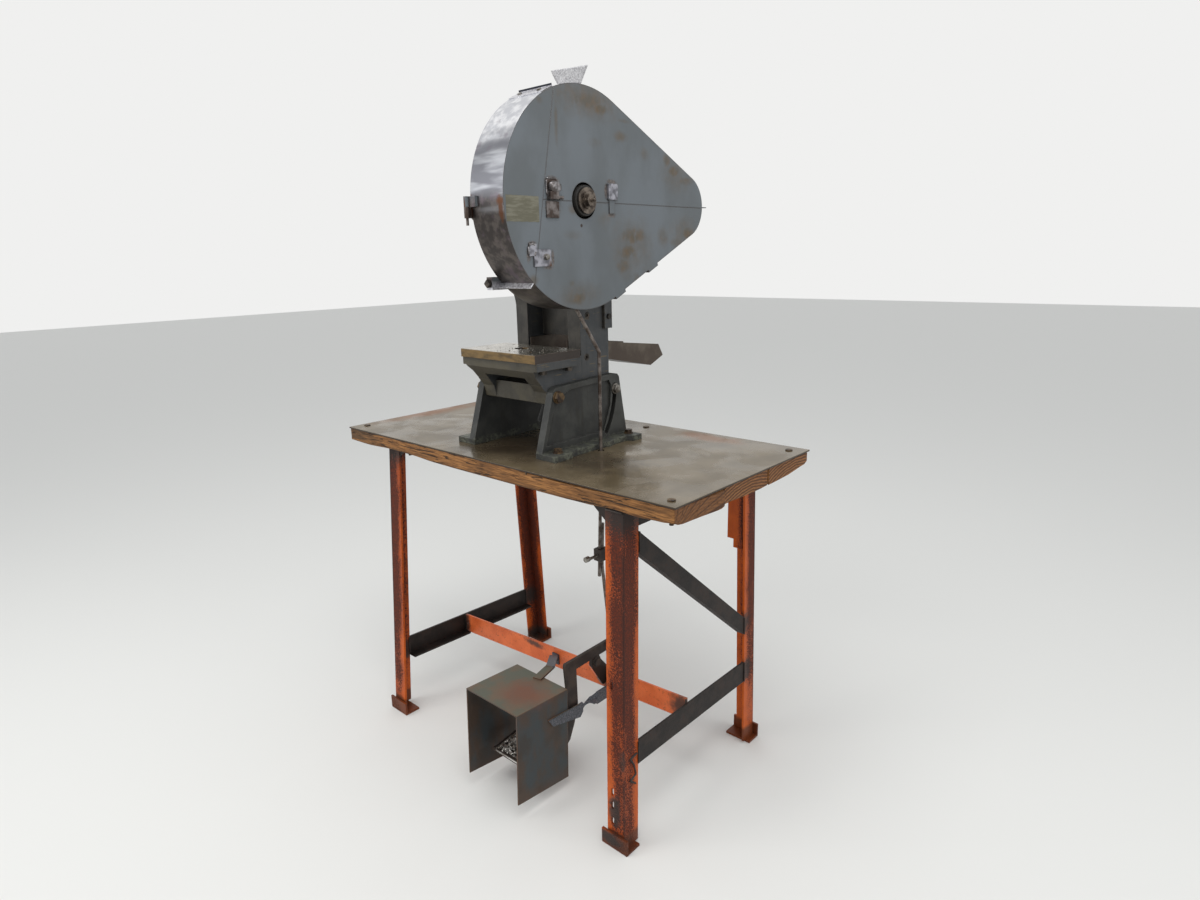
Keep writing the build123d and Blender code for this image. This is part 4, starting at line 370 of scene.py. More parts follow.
def steel(name, base=(150, 146, 140), dark=(84, 78, 70), rough=0.34, metal=0.85, stain=0.5, rust=(70, 52, 38),
          size=20):
    """Handled steel with darker stains."""
    look = Look(name)
    fine = look.noise(4, 4, 0.65)
    broad = look.noise(size, 4, 0.6)
    color = look.tones(broad, stain - 0.12, stain + 0.14, dark, base)
    color = look.over(look.step(fine, 0.58, 0.75), 0.45, color, paint(*rust))
    rough = look.plus(rough - 0.1, fine, 0.25)
    return look.finish(color, rough, metal, [(fine, 0.12)], 0.6)


# Brown smears on the guard's face: (Y, Z), half sizes and strength
SMEARS = (((-100, 1720), (85, 30), 0.85), ((-60, 1706), (42, 17), 1.0), ((21, 1689), (26, 6), 0.6),
          ((8, 1654), (30, 15), 0.75), ((-83, 1634), (26, 12), 0.35), ((98, 1622), (20, 18), 0.45),
          ((188, 1614), (20, 22), 0.8), ((217, 1592), (34, 20), 0.95), ((268, 1570), (46, 15), 0.7),
          ((-53, 1464), (26, 24), 0.45), ((54, 1430), (64, 27), 0.95), ((32, 1393), (46, 26), 0.95),
          ((12, 1361), (34, 24), 0.8), ((174, 1430), (30, 30), 0.6), ((282, 1440), (44, 20), 0.95),
          ((234, 1417), (42, 16), 0.55), ((60, 1335), (22, 20), 0.5), ((-152, 1292), (44, 18), 0.95),
          ((-165, 1433), (36, 12), 0.3), ((-160, 1487), (18, 14), 0.5), ((-171, 1326), (14, 10), 0.5),
          ((-290, 1337), (18, 14), 0.7), ((-252, 1702), (14, 10), 0.6), ((-204, 1665), (7, 60), 0.55),
          ((-100, 1722), (140, 50), 0.6), ((50, 1400), (95, 90), 0.45), ((230, 1585), (80, 55), 0.4),
          ((262, 1440), (80, 50), 0.4), ((-150, 1300), (90, 34), 0.4))
SMEAR_SPREAD = 1.15
SMEAR_DEPTH = 40

# Paint burnt round the straps' welds: (Y, Z) and half sizes
BURNS = (((-224, 1488), (30, 24)), ((-222, 1545), (26, 12)), ((-28, 1552), (22, 8)), ((-10, 1532), (8, 24)),
         ((-47, 1532), (7, 22)), ((-28, 1478), (18, 7)), ((-288, 1412), (16, 10)), ((-300, 1392), (8, 22)),
         ((-242, 1366), (20, 9)), ((-228, 1384), (6, 22)))

# Heights on the rim where the painted bright reflection ends and where the darker steel with painted shade
# starts
RIM_PAINTED_HIGHLIGHT = (1700, 1625)
RIM_DARK_STEEL_AND_SHADE = (1560, 1515)


def guard_face(look):
    """Thin blue-grey paint with brown smears."""
    cloud = look.noise(110, 4, 0.5, stretch=(1, 1, 1.6))
    base = look.tones(cloud, 0.35, 0.65, (89, 94, 97), (99, 105, 110))
    patches = []
    for middle, halves, strength in SMEARS:
        radii = (SMEAR_DEPTH, *[SMEAR_SPREAD * half for half in halves])
        patches.append(look.times(look.near((GUARD_FACE, *middle), radii, 0.85, 0.8, 26), strength))
    cover = look.step(look.noise(34, 5, 0.6, stretch=(1, 1, 1.5)), 0.2, 0.52)
    tone = look.tones(look.noise(18, 4), 0.4, 0.6, (90, 74, 54), (80, 71, 57))
    color = look.over(look.times(look.most(*patches), cover), 0.95, base, tone)
    speck = look.step(look.noise(8, 6, 0.8, shift=(7, 3, 5)), 0.69, 0.73)
    color = look.over(speck, 0.3, color, paint(84, 78, 70))
    return look.over(look.edge(4, 0.01, 0.16), 0.75, color, paint(62, 50, 40))


def guard_rim_with_painted_reflections(look):
    """Bare metal with painted reflections: a painted bright reflection above, a painted grey-blue reflected
    belt, then darker brownish steel with painted shade below.
    """
    band = look.noise(34, 3, 0.5, stretch=(6, 1, 1), shift=(0, 12, 0))
    blotch = look.noise(24, 4, 0.6, shift=(40, 10, 90))
    level = look.plus(look.axis(2), band, 70)
    # Painted reflection and shade by height: the bright top and the grey-blue belt stand in for the room
    # mirrored in the rim; below is darker steel plus painted shade.
    high = look.tones(blotch, 0.4, 0.66, (190, 191, 196), (228, 228, 230))
    belt = look.tones(band, 0.42, 0.6, (112, 113, 119), (178, 180, 185))
    low = look.tones(blotch, 0.4, 0.62, (66, 61, 59), (94, 87, 83))
    bare = look.mix(look.step(level, *RIM_PAINTED_HIGHLIGHT), high, belt)
    bare = look.mix(look.step(level, *RIM_DARK_STEEL_AND_SHADE), bare, low)
    violet = look.step(look.noise(30, 3, 0.5, shift=(90, 0, 9)), 0.56, 0.7)
    bare = look.over(violet, 0.35, bare, paint(112, 96, 108))
    pits = look.step(look.noise(9, 6, 0.8, shift=(3, 50, 5)), 0.66, 0.74)
    bare = look.over(pits, 0.4, bare, paint(96, 82, 74))
    stains = look.most(look.near((222, -362, 1478), (9, 30, 32), 0.6, 1.0, 8),
                       look.near((222, -362, 1500), (14, 20, 14), 0.6, 1.0, 8),
                       look.near((128, -362, 1492), (8, 30, 34), 0.7, 1.0, 10))
    return look.over(stains, 0.85, bare, paint(98, 62, 40))


def guard_strip(look):
    """Share and colour of the galvanised strip and flange on the rim, with the strip's dark lip."""
    from_shaft = look.moved((1, 1, 1), (0, -SHAFT_Y, -SHAFT_Z))
    reach = look.vector("LENGTH", look.vector("MULTIPLY", from_shaft, (0, 1, 1)))
    ends = look.most(look.step(look.axis(2), 1590, 1600), look.step(look.axis(2), 1340, 1330))
    strip = look.times(look.step(reach, GUARD_R + 0.6, GUARD_R + 1), look.step(look.axis(1), -170, -180),
                       ends)
    zinc = look.tones(look.noise(7, 5, 0.7), 0.36, 0.6, (160, 158, 164), (216, 216, 220))
    lip = look.times(look.step(reach, GUARD_R + 2.6, GUARD_R + 3), look.step(look.axis(2), 1650, 1660))
    return strip, look.mix(lip, zinc, paint(58, 60, 68))


def guard_straps(look):
    """Share and colour of the bright plates welded across the seams."""
    proud = look.step(look.axis(0), GUARD_FACE + 0.4, GUARD_FACE + 0.8)
    tab = look.times(proud, look.near((235, -258, 1390), (20, 48, 40), 0.1))
    lug = look.times(proud, look.near((236, -28, 1531), (20, 26, 21), 0.1))
    tone = look.tones(look.noise(14, 3, 0.45), 0.36, 0.64, (104, 104, 110), (164, 164, 172))
    corner = look.near((236, -231, 1366), (20, 18, 20), 0.7, 0.8, 6)
    return look.most(tab, lug), look.mix(corner, tone, paint(92, 68, 54))


def guard_paint():
    """Smeared paint on the face, bare metal with painted reflections on the rim, and welded straps in burnt
    paint.
    """
    look = Look("guard_paint")
    fine = look.noise(3, 5, 0.7)
    strip, zinc = guard_strip(look)
    across = look.most(look.step(look.sideways(), 0.5, 0.3), strip)
    color = look.mix(across, guard_face(look), look.mix(strip, guard_rim_with_painted_reflections(look), zinc))
    plates, plate_tone = guard_straps(look)
    color = look.mix(plates, color, plate_tone)
    burnt = [look.near((GUARD_FACE, *middle), (3, *halves), 0.6, 0.9, 7) for middle, halves in BURNS]
    halo = look.times(look.most(*burnt), look.math("SUBTRACT", 1, plates))
    char = look.tones(fine, 0.4, 0.62, (62, 52, 46), (118, 106, 98))
    color = look.over(halo, 0.8, color, char)
    # Painted shade: a dark rust-brown spot stands in for the shaded inside of a hole.
    hole_shade = look.near((GUARD_FACE, -133, 1453), (3, 5, 5), 0.5)
    color = look.mix(hole_shade, color, paint(44, 26, 16))
    shiny = look.most(across, plates)
    rough = look.plus(look.plus(0.46, look.noise(50, 3), 0.18), shiny, -0.18)
    return look.finish(color, rough, look.times(shiny, 0.85), [(look.noise(170, 2), 1.6), (fine, 0.06)], 0.8)


def sheet_steel():
    """Oily sheet on the table: brown film, darker round the press, wet patches by it and rust at the back
    left.
    """
    look = Look("oily_sheet")
    fine = look.noise(5, 5, 0.7)
    cloud = look.noise(130, 5, 0.6)
    film = look.tones(cloud, 0.35, 0.65, (92, 80, 60), (114, 101, 80))
    dark = look.most(look.near((-20, -130, TABLE_TOP), (300, 190, 60), 0.8, 0.7, 90),
                     look.times(look.near((240, -130, TABLE_TOP), (170, 110, 60), 0.7, 1.0, 50), 0.8))
    color = look.over(dark, 0.85, film, paint(50, 40, 29))
    wet = look.noise(30, 4, 0.6, stretch=(2.4, 1, 1), shift=(5, 5, 0), twist=0.8)
    by_press = look.near((290, -120, TABLE_TOP), (150, 130, 60), 0.5, 0.8, 40)
    wet = look.times(look.step(wet, 0.5, 0.58), by_press)
    color = look.over(wet, 0.6, color, paint(70, 62, 48))
    rust = look.most(look.near((-420, 210, TABLE_TOP), (330, 130, 60), 0.8, 0.9, 70),
                     look.near((330, 240, TABLE_TOP), (150, 50, 60), 0.8, 1.0, 50),
                     look.near((-590, 0, TABLE_TOP), (70, 260, 60), 0.8, 0.9, 50))
    color = look.over(rust, 0.55, color, paint(150, 104, 78))
    specks = look.step(look.noise(7, 6, 0.85, shift=(3, 9, 0)), 0.71, 0.75)
    color = look.over(specks, 0.6, color, paint(60, 46, 34))
    rim = look.step(look.axis(2), TABLE_TOP - 0.6, TABLE_TOP - 1.4)
    color = look.over(rim, 0.9, color, paint(40, 27, 20))
    puddle = look.step(look.noise(120, 4, 0.55, shift=(60, 20, 0), twist=0.5), 0.42, 0.60)
    rough = look.plus(0.34, puddle, -0.18)
    rough = look.plus(rough, rust, 0.2)
    return look.finish(color, rough, 0.2, [(look.noise(260, 2), 4.0), (fine, 0.05)], 0.8)


def timber_side(look, grain, broad, cracks):
    """Colour of the long faces: brown grain, darker at the left and below, with black checks."""
    side = look.tones(grain, 0.34, 0.66, (92, 58, 30), (166, 116, 66))
    side = look.over(look.step(broad, 0.48, 0.66), 0.65, side, paint(92, 62, 36))
    left = look.times(look.step(look.axis(0), -380, -560), look.step(broad, 0.36, 0.5))
    side = look.over(left, 0.7, side, paint(60, 48, 34))
    side = look.over(cracks, 0.9, side, paint(34, 24, 17))
    low_film = look.step(look.plus(look.axis(2), broad, 14), PLANK_LOW + 10, PLANK_LOW + 1)
    return look.over(low_film, 0.55, side, paint(62, 44, 30))


def timber_end(look, front, rear, shift, fanned):
    """Colour and height of the sawn ends: rings about a far pith, and ridges, strong where fanned is 1."""
    ring_place = look.node("ShaderNodeCombineXYZ")
    off_middle = look.math("SUBTRACT", look.axis(1), (front + rear) / 2 + 2 * shift)
    look.put(ring_place.inputs[1], look.times(off_middle, 0.5))
    look.put(ring_place.inputs[2], look.plus(look.axis(2), -PITH_Z))
    wave = look.plus(look.times(look.vector("LENGTH", ring_place.outputs[0]), 0.9), look.noise(30, 3), 6)
    rings = look.times(look.math("SINE", wave), 1 - 0.8 * fanned)
    end = look.tones(rings, -0.9, 1.1, (92, 58, 34), (150, 102, 60))
    fan = look.node("ShaderNodeCombineXYZ")
    up = look.plus(look.axis(2), -PLANK_LOW + 22)
    from_pith = look.math("ARCTAN2", up, look.plus(look.axis(1), 6 - front))
    look.put(fan.inputs[0], look.times(from_pith, 15))
    ridges = look.node("ShaderNodeTexNoise")
    look.put(ridges.inputs["Vector"], fan.outputs[0])
    ridges.inputs["Scale"].default_value = 1.0
    saw = ridges.outputs["Fac"]
    end = look.over(look.step(saw, 0.45, 0.62), 0.3 + 0.5 * fanned, end, paint(62, 38, 24))
    return end, look.plus(saw, rings, 0.3)


def timber(name, front, rear, shift, fanned):
    """Old softwood with long grain on its sides and rings and saw marks on its ends."""
    look = Look(name)
    grain = look.noise(3.0, 6, 0.62, stretch=(24, 1, 1), shift=(shift, shift, 0), twist=1.4)
    broad = look.noise(26, 4, 0.6, stretch=(8, 1, 1), shift=(0, shift, 0), twist=0.8)
    cracks = look.noise(6, 5, 0.62, stretch=(15, 1, 1.0), shift=(11 * shift, 4, 2), twist=1.1)
    cracks = look.step(cracks, 0.575, 0.63)
    end, ridge = timber_end(look, front, rear, shift, fanned)
    on_end = look.step(look.sideways(), 0.6, 0.8)
    color = look.mix(on_end, timber_side(look, grain, broad, cracks), end)
    color = look.over(look.edge(3, 0.02, 0.3), 0.35, color, paint(56, 40, 28))
    deep = look.math("SUBTRACT", look.times(grain, 0.35), cracks)
    return look.finish(color, 0.6, 0.0, [(deep, 1.5), (look.times(ridge, on_end), 1.2)], 0.0, 0.25)


def tie_paint():
    """Brighter orange bar with dark specks and burnt ends."""
    look = Look("orange_bar")
    fine = look.noise(4, 5, 0.75)
    color = look.tones(look.noise(60, 4), 0.35, 0.65, (232, 118, 66), (212, 100, 52))
    specks = look.step(look.noise(8, 6, 0.8, shift=(4, 4, 4)), 0.59, 0.63)
    color = look.over(specks, 0.7, color, paint(84, 50, 38))
    burns = look.most(look.near((-466, -12, 183), (26, 60, 60), 0.6, 0.8, 10),
                      look.near((452, -36, 255), (56, 40, 60), 0.7, 0.8, 12),
                      look.near((186, -30, 240), (50, 60, 60), 0.6, 0.8, 14),
                      look.near((-120, -14, 230), (60, 40, 14), 0.7, 0.9, 10))
    char = look.mix(fine, paint(40, 33, 30), paint(84, 70, 62))
    color = look.over(burns, 0.9, color, char)
    color = look.over(look.edge(2, 0.02, 0.3), 0.5, color, paint(84, 44, 28))
    left, right = TIE_LUG_X
    lug = look.times(look.step(look.axis(0), left, left + 3), look.step(look.axis(0), right, right - 3),
                     look.step(look.sideways(), 0.6, 0.9))
    color = look.mix(lug, color, paint(44, 36, 32))
    return look.finish(color, 0.42, 0.0, [(fine, 0.2)], 1.0, 0.3)


def box_steel():
    """Mill scale with rust red on top, brown at the edges and blue-grey straps."""
    look = Look("scaled_sheet")
    fine = look.noise(4, 5, 0.7)
    cloud = look.noise(60, 4, 0.6, stretch=(1, 1, 2.2))
    base = look.tones(cloud, 0.38, 0.62, (58, 64, 66), (72, 58, 48))
    brown = look.step(look.noise(80, 3, 0.5, shift=(20, 50, 9)), 0.5, 0.66)
    base = look.over(brown, 0.6, base, paint(56, 46, 38))
    # Top faces lighter than the sides: partly their own rust and scale tone, partly painted light from above.
    top_tone_and_light = look.step(look.axis(2, look.facing), 0.6, 0.9)
    top = look.tones(cloud, 0.4, 0.6, (88, 90, 78), (104, 88, 72))
    color = look.mix(top_tone_and_light, base, top)
    red = look.near((140, -290, BOX_TOP), (95, 80, 30), 0.8, 0.8, 40)
    color = look.over(red, 0.7, color, paint(118, 68, 48))
    spots = look.step(look.noise(6, 5, 0.8), 0.62, 0.70)
    color = look.over(spots, 0.25, color, paint(106, 86, 66))
    color = look.over(look.edge(4, 0.005, 0.15), 0.6, color, paint(112, 76, 52))
    low = look.step(look.plus(look.axis(2), cloud, 60), 110, 60)
    color = look.over(low, 0.4, color, paint(90, 64, 46))
    beside = look.step(look.axis(0), BOX_SIDE_X, BOX_SIDE_X + 0.4)
    straps = look.most(look.times(beside, look.step(look.axis(2), 180, 184)),
                       look.step(look.axis(1), -160, -154))
    color = look.mix(straps, color, look.tones(fine, 0.4, 0.65, (58, 60, 66), (104, 106, 112)))
    rough = look.plus(0.4, fine, 0.25)
    return look.finish(color, rough, 0.1, [(fine, 0.12)], 1.0, 0.4)


def rubber_look():
    """Dull belt rubber."""
    look = Look("belt_rubber")
    fine = look.noise(3, 3)
    return look.finish(look.mix(fine, paint(26, 26, 27), paint(50, 49, 47)), 0.8, 0.0, [(fine, 0.2)])


def zinc_look():
    """Pitted galvanised strip."""
    look = Look("galvanised")
    fine = look.noise(4, 5, 0.75)
    color = look.tones(fine, 0.36, 0.62, (170, 168, 172), (226, 225, 227))
    pits = look.step(look.noise(6, 6, 0.8, shift=(5, 5, 5)), 0.66, 0.72)
    color = look.mix(pits, color, paint(128, 106, 112))
    return look.finish(color, 0.5, 0.2, [(fine, 0.9)])


def bolster_look():
    """Ground plate top, golden-brown front edge and dark side."""
    look = Look("bolster_steel")
    fine = look.noise(3, 5, 0.7)
    top = look.tones(look.noise(40, 4), 0.35, 0.65, (150, 144, 132), (186, 180, 168))
    streak = look.step(look.noise(14, 4, 0.6, stretch=(3, 1, 1)), 0.35, 0.62)
    edge_color = look.mix(streak, paint(84, 68, 44), paint(122, 98, 60))
    side = look.mix(fine, paint(44, 39, 37), paint(78, 68, 62))
    front = look.step(look.axis(1, look.facing), -0.5, -0.8)
    flank = look.step(look.sideways(), 0.5, 0.8)
    color = look.mix(front, top, edge_color)
    color = look.mix(flank, color, side)
    color = look.over(look.edge(1.2, 0.02, 0.2), 0.7, color, paint(118, 82, 56))
    stained = look.most(front, flank)
    rough = look.plus(0.12, fine, 0.2)
    rough = look.plus(rough, stained, 0.2)
    metal = look.plus(0.8, stained, -0.4)
    return look.finish(color, rough, metal, [(fine, 0.12)], 0.8)


dark = dark_steel("burnt_steel")
weld_dark = dark_steel("weld_dark", (36, 31, 29), (88, 80, 74), (70, 44, 30), 0.6)
weld_bright = steel("weld_bright", (150, 148, 150), (92, 86, 84), 0.35, 0.85)
lit = steel("bright_steel", (206, 204, 200), (150, 144, 136), 0.3, 0.9)
dull = steel("dull_bolt_steel", (104, 84, 58), (50, 38, 30), 0.46, 0.5)
chute_look = steel("chute_steel", (98, 88, 76), (72, 60, 50), 0.42, 0.3, 0.5, (80, 58, 44), 90)
chip_look = steel("chip_steel", (196, 192, 186), (120, 112, 102), 0.3, 0.9, 0.42)

wear(sheet_steel(), "table_plate")

# Legs: node, material, corner, foot and top, bareness and burnt marks as (place, half sizes)
LEGS = (("leg_front_left", "orange_leg_a", LEFT_X, FRONT_LEFT_Y, 0.56, [((-470, -246, 182), (30, 50, 44))]),
        ("leg_rear_left", "orange_leg_b", LEFT_X, REAR_LEFT_Y, 0.52,
         [((-470, 276, 172), (30, 60, 50)), ((-450, 300, 20), (60, 60, 26))]),
        ("leg_front_right", "orange_leg_c", RIGHT_X, FRONT_RIGHT_Y, 0.60,
         [((468, -300, 246), (24, 20, 50)), ((430, -290, 22), (60, 40, 26)),
          ((440, -294, 100), (24, 14, 60))]),
        ("leg_rear_right", "orange_leg_d", RIGHT_X, REAR_RIGHT_Y, 0.66,
         [((468, 250, 240), (30, 34, 50)), ((455, 236, 390), (40, 40, 50))]))
for node, name, corner_x, ends, bare, marks in LEGS:
    wear(orange_leg(name, corner_x, *ends, bare, marks), node)

wear(dark, "rail_left", "rail_right", "brace_left", "brace_right", "brace_diagonal")
wear(tie_paint(), "tie_bar")
wear(box_steel(), "pedal_guard")
wear(dark_steel("lever_steel", (44, 38, 35), (84, 74, 66), (76, 50, 36), 0.6),
     "treadle_lever", "treadle_bolts", "rod_clamp")
wear(steel("rod_steel", (122, 114, 108), (66, 54, 46), 0.36, 0.6, 0.5, (76, 52, 38)),
     "upper_rod", "lower_rod", "trip_latch")
wear(dull, "table_bolts", "pivot_bolts")
wear(steel("burnt_plate", (124, 118, 116), (66, 55, 50), 0.36, 0.7, 0.5, (92, 70, 52)), "hasp")
wear(steel("rusty_hinge", (112, 104, 100), (70, 58, 52), 0.4, 0.6), "door_hinge")
wear(steel("nut_steel", (124, 114, 104), (70, 62, 56), 0.32, 0.85), "shaft_nut")
wear(steel("handled_steel"), "clamp_screw", "tilt_bolts", "ram", "punch_screw", "pitman_bolts",
     "adjusting_screw", "crankshaft", "shaft_collars", "motor_shaft", "door_screws", "latch_spring")
wear(steel("screw_steel", (86, 78, 70), (40, 37, 34), 0.42, 0.6), "frame_screws")
wear(casting("stand_casting", (46, 47, 46), (92, 92, 86), (46, 44, 39), pale_foot=True),
     "press_leg_left", "press_leg_right")
wear(casting("charcoal_casting", (52, 50, 47), (104, 98, 88), (36, 33, 29), 0.45), "press_frame",
     "gib_strips", "pitman", "pitman_cap", "motor_pulley", "guard_bracket", "trip_guide", "motor_mount")
wear(casting("hub_casting", (30, 29, 28), (60, 56, 50), (22, 21, 20)), "flywheel")
wear(casting("motor_paint", (56, 60, 62), (96, 98, 98), (40, 38, 34)), "motor_body")
wear(bolster_look(), "bolster_plate")
wear(steel("bronze", (160, 128, 78), (104, 78, 46), 0.34, 0.9), "crank_bushes", "flywheel_bush")
wear(rubber_look(), "v_belt")
wear(guard_paint(), "guard_back", "guard_upper", "guard_lower", "guard_door")
wear(chute_look, "chute")


def make_mesh(name, points, faces, material, body, smooth=True):
    """Mesh piece from points in millimetres."""
    mesh = bpy.data.meshes.new(name)
    mesh.from_pydata([tuple(c * MM for c in p) for p in points], [], faces)
    mesh.validate()
    mesh.polygons.foreach_set("use_smooth", [smooth] * len(mesh.polygons))
    mesh.materials.append(material)
    made = bpy.data.objects.new(name, mesh)
    bpy.context.scene.collection.objects.link(made)
    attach(made, body)
    return made


def bead_shape(points, radius, chance, sides=8, pitch=3.2, flat=0.7):
    """Points and faces of a rippled weld bead along a line of points."""
    line = []
    for start, end in zip(points, points[1:]):
        start, end = Vector(start), Vector(end)
        count = max(2, int((end - start).length / (pitch / 3)))
        line += [start.lerp(end, i / count) for i in range(count)]
    line.append(Vector(points[-1]))
    verts, faces = [], []
    for i, point in enumerate(line):
        run = (line[min(i + 1, len(line) - 1)] - line[max(i - 1, 0)]).normalized()
        side = run.cross(Vector((0.31, 0.52, 0.79))).normalized()
        other = run.cross(side)
        swell = 0.78 + 0.22 * abs(math.sin(i * math.pi / 3)) + chance.uniform(-0.08, 0.08)
        if i in (0, len(line) - 1):
            swell *= 0.4
        for k in range(sides):
            turn = 2 * math.pi * k / sides
            reach = radius * swell * (1 + chance.uniform(-0.05, 0.05))
            verts.append(point + side * reach * math.cos(turn) + other * reach * flat * math.sin(turn))
        if i:
            base = (i - 1) * sides
            for k in range(sides):
                n = (k + 1) % sides
                faces.append((base + k, base + n, base + sides + n, base + sides + k))
    last = (len(line) - 1) * sides
    faces.append(tuple(range(sides - 1, -1, -1)))
    faces.append(tuple(last + k for k in range(sides)))
    return verts, faces


def beads(name, lines, radius, material, body, seed):
    """One piece of several weld beads."""
    chance = random.Random(seed)
    verts, faces = [], []
    for line in lines:
        new_verts, new_faces = bead_shape(line, radius, chance)
        faces += [tuple(len(verts) + i for i in face) for face in new_faces]
        verts += new_verts
    return make_mesh(name, verts, faces, material, body)


def pillow(name, middle, halves, chance, material, body, squareness=2.6):
    """Closed lumpy rounded block."""
    lumps, rings, sides = 0.06, 12, 20
    points, faces = [], []

    def power(value):
        return math.copysign(abs(value) ** (2 / squareness), value)

    for i in range(rings + 1):
        rise = math.pi * (i / rings - 0.5)
        for k in range(sides if 0 < i < rings else 1):
            turn = math.tau * k / sides
            unit = Vector((power(math.sin(rise)), power(math.cos(rise)) * power(math.cos(turn)),
                           power(math.cos(rise)) * power(math.sin(turn))))
            swell = 1 + chance.uniform(-lumps, lumps) * 0.5 + lumps * math.sin(3 * turn + 5 * rise)
            points.append(Vector(middle) + Vector([a * b * swell for a, b in zip(unit, halves)]))
    for i in range(1, rings):
        row = 1 + (i - 1) * sides
        for k in range(sides):
            n = (k + 1) % sides
            if i == 1:
                faces.append((0, row + n, row + k))
            if i < rings - 1:
                faces.append((row + k, row + n, row + sides + n, row + sides + k))
            else:
                faces.append((row + k, row + n, len(points) - 1))
    make_mesh(name, points, faces, material, body)


def along(line, at):
    """Height on a line of (place, height) points, smooth between them."""
    if at <= line[0][0]:
        return line[0][1]
    for (start, low), (end, high) in zip(line, line[1:]):
        if at <= end:
            share = (at - start) / (end - start)
            return low + (high - low) * share * share * (3 - 2 * share)
    return line[-1][1]


def plank_height(x, y, flat, front_line, right_line, front, right_end):
    """Height of a plank's top or bottom, worn only near its front and right edges."""
    by_front = max(0.0, 1 - (y - front) / EDGE_REACH) if front_line else 0.0
    by_end = max(0.0, 1 - (right_end - x) / EDGE_REACH)
    height = flat + (along(front_line, x) - flat) * by_front if front_line else flat
    return height + (along(right_line, y) - height) * by_end


def sawn_depth(x, y, z, shift):
    """Depth of the rough-sawn skin at a point."""
    grain = noise.noise(Vector((x / 90, y / 7 + shift, z / 5)))
    dent = noise.noise(Vector((x / 26, y / 20 + shift, z / 9)))
    return 0.55 + 0.5 * grain + 0.45 * dent


def plank(node, left_end, right_end, front, rear, shift, wavy=False):
    """Rough-sawn plank with rounded, wavy edges in the place of a CAD node."""
    run = right_end - left_end - 2 * PLANK_CHAMFER
    stations = [left_end + PLANK_CHAMFER + run * i / PLANK_STEPS for i in range(PLANK_STEPS + 1)]
    stations = [left_end, *stations, right_end]
    width = rear - front
    across = [*EDGE_OFFSETS, width / 2, *[width - step for step in reversed(EDGE_OFFSETS)]]
    last = len(across) - 1
    loop = [(rear - step, 0, 0.0 if 0 < i < last else LOW_ROUND) for i, step in enumerate(across)]
    loop += [(front, share, 0.0) for share in SIDE_SHARES]
    loop += [(front + step, 1, 0.0 if 0 < i < last else TOP_ROUND) for i, step in enumerate(across)]
    loop += [(rear, share, 0.0) for share in reversed(SIDE_SHARES)]
    lows, tops = (FRONT_LOW, FRONT_TOP) if wavy else (None, None)
    points, faces = [], []
    for i, x in enumerate(stations):
        inset = END_INSET if i in (0, len(stations) - 1) else 0.0
        for y, share, drop in loop:
            low = plank_height(x, y, PLANK_LOW, lows, RIGHT_LOW, front, right_end) + inset
            top = plank_height(x, y, PLANK_TOP - TOP_GAP, tops, RIGHT_TOP, front, right_end) - inset
            z = low + (top - low) * share + (drop if share == 0 else -drop)
            depth = sawn_depth(x, y, z, shift)
            in_y = depth if y <= front + 0.1 else -depth if y >= rear - 0.1 else 0.0
            points.append((x, min(max(y, front + inset), rear - inset) + in_y, z))
    count = len(loop)
    for i in range(len(stations) - 1):
        a = i * count
        for k in range(count):
            n = (k + 1) % count
            faces.append((a + k, a + count + k, a + count + n, a + n))
    faces.append(tuple(range(count)))
    faces.append(tuple(reversed(range((len(stations) - 1) * count, len(stations) * count))))
    look = timber(node + "_look", front, rear, shift, float(wavy))
    piece = make_mesh(node + "_wood", points, faces, look, "table")
    for face in list(piece.data.polygons)[-2:]:
        face.use_smooth = False
    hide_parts(node)


# The planks' ends, their front and rear faces, and the seed of their grain
plank("plank_front", -606.5, 606.5, -286, -99.6, 3, wavy=True)
plank("plank_middle", -602.5, 602.5, -98.4, 90.4, 8)
plank("plank_rear", -608.5, 604.5, 91.6, 286, 17)

# Beads under the rails, then on the braces, the tie bar and the near leg
BEAD_LENGTH = 50
joint_lines = []
for outer, side, tops in ((LEFT_X, -1, (FRONT_LEFT_Y[1], REAR_LEFT_Y[1])),
                          (RIGHT_X, 1, (FRONT_RIGHT_Y[1], REAR_RIGHT_Y[1]))):
    for top_y, back in zip(tops, (-1, 1)):
        x, y = outer + side, top_y + back
        joint_lines.append([(x, top_y - back * 2, LEG_TOP), (x, top_y - back * BEAD_LENGTH, LEG_TOP)])
        joint_lines.append([(outer - side * 2, y, LEG_TOP), (outer - side * BEAD_LENGTH, y, LEG_TOP)])
joint_lines += [[(469.5, -238.5, 218), (469.5, -237, 276)], [(469.5, 239, 208), (469.5, 238, 268)],
                [(462, -238.4, 216), (436, -238.4, 216)], [(469, -226, 750), (469, -226, 800)],
                [(469, -243, 249), (469, -269, 245), (469, -256, 225), (469, -248, 195), (469, -270, 186),
                 (469, -249, 168)],
                [(469, 233, 358), (469, 232, 408)], [(-469, -239.5, 162), (-469, -238.5, 222)],
                [(-469, 266, 142), (-469, 264, 202)], [(-468.5, -12, 154), (-468.5, -12, 212)],
                [(461.5, -34, 226), (461.5, -34, 284)], [(455, -34.6, 224.5), (436, -34, 223)]]
beads("frame_welds", joint_lines, 3.4, weld_dark, "table", seed=3)

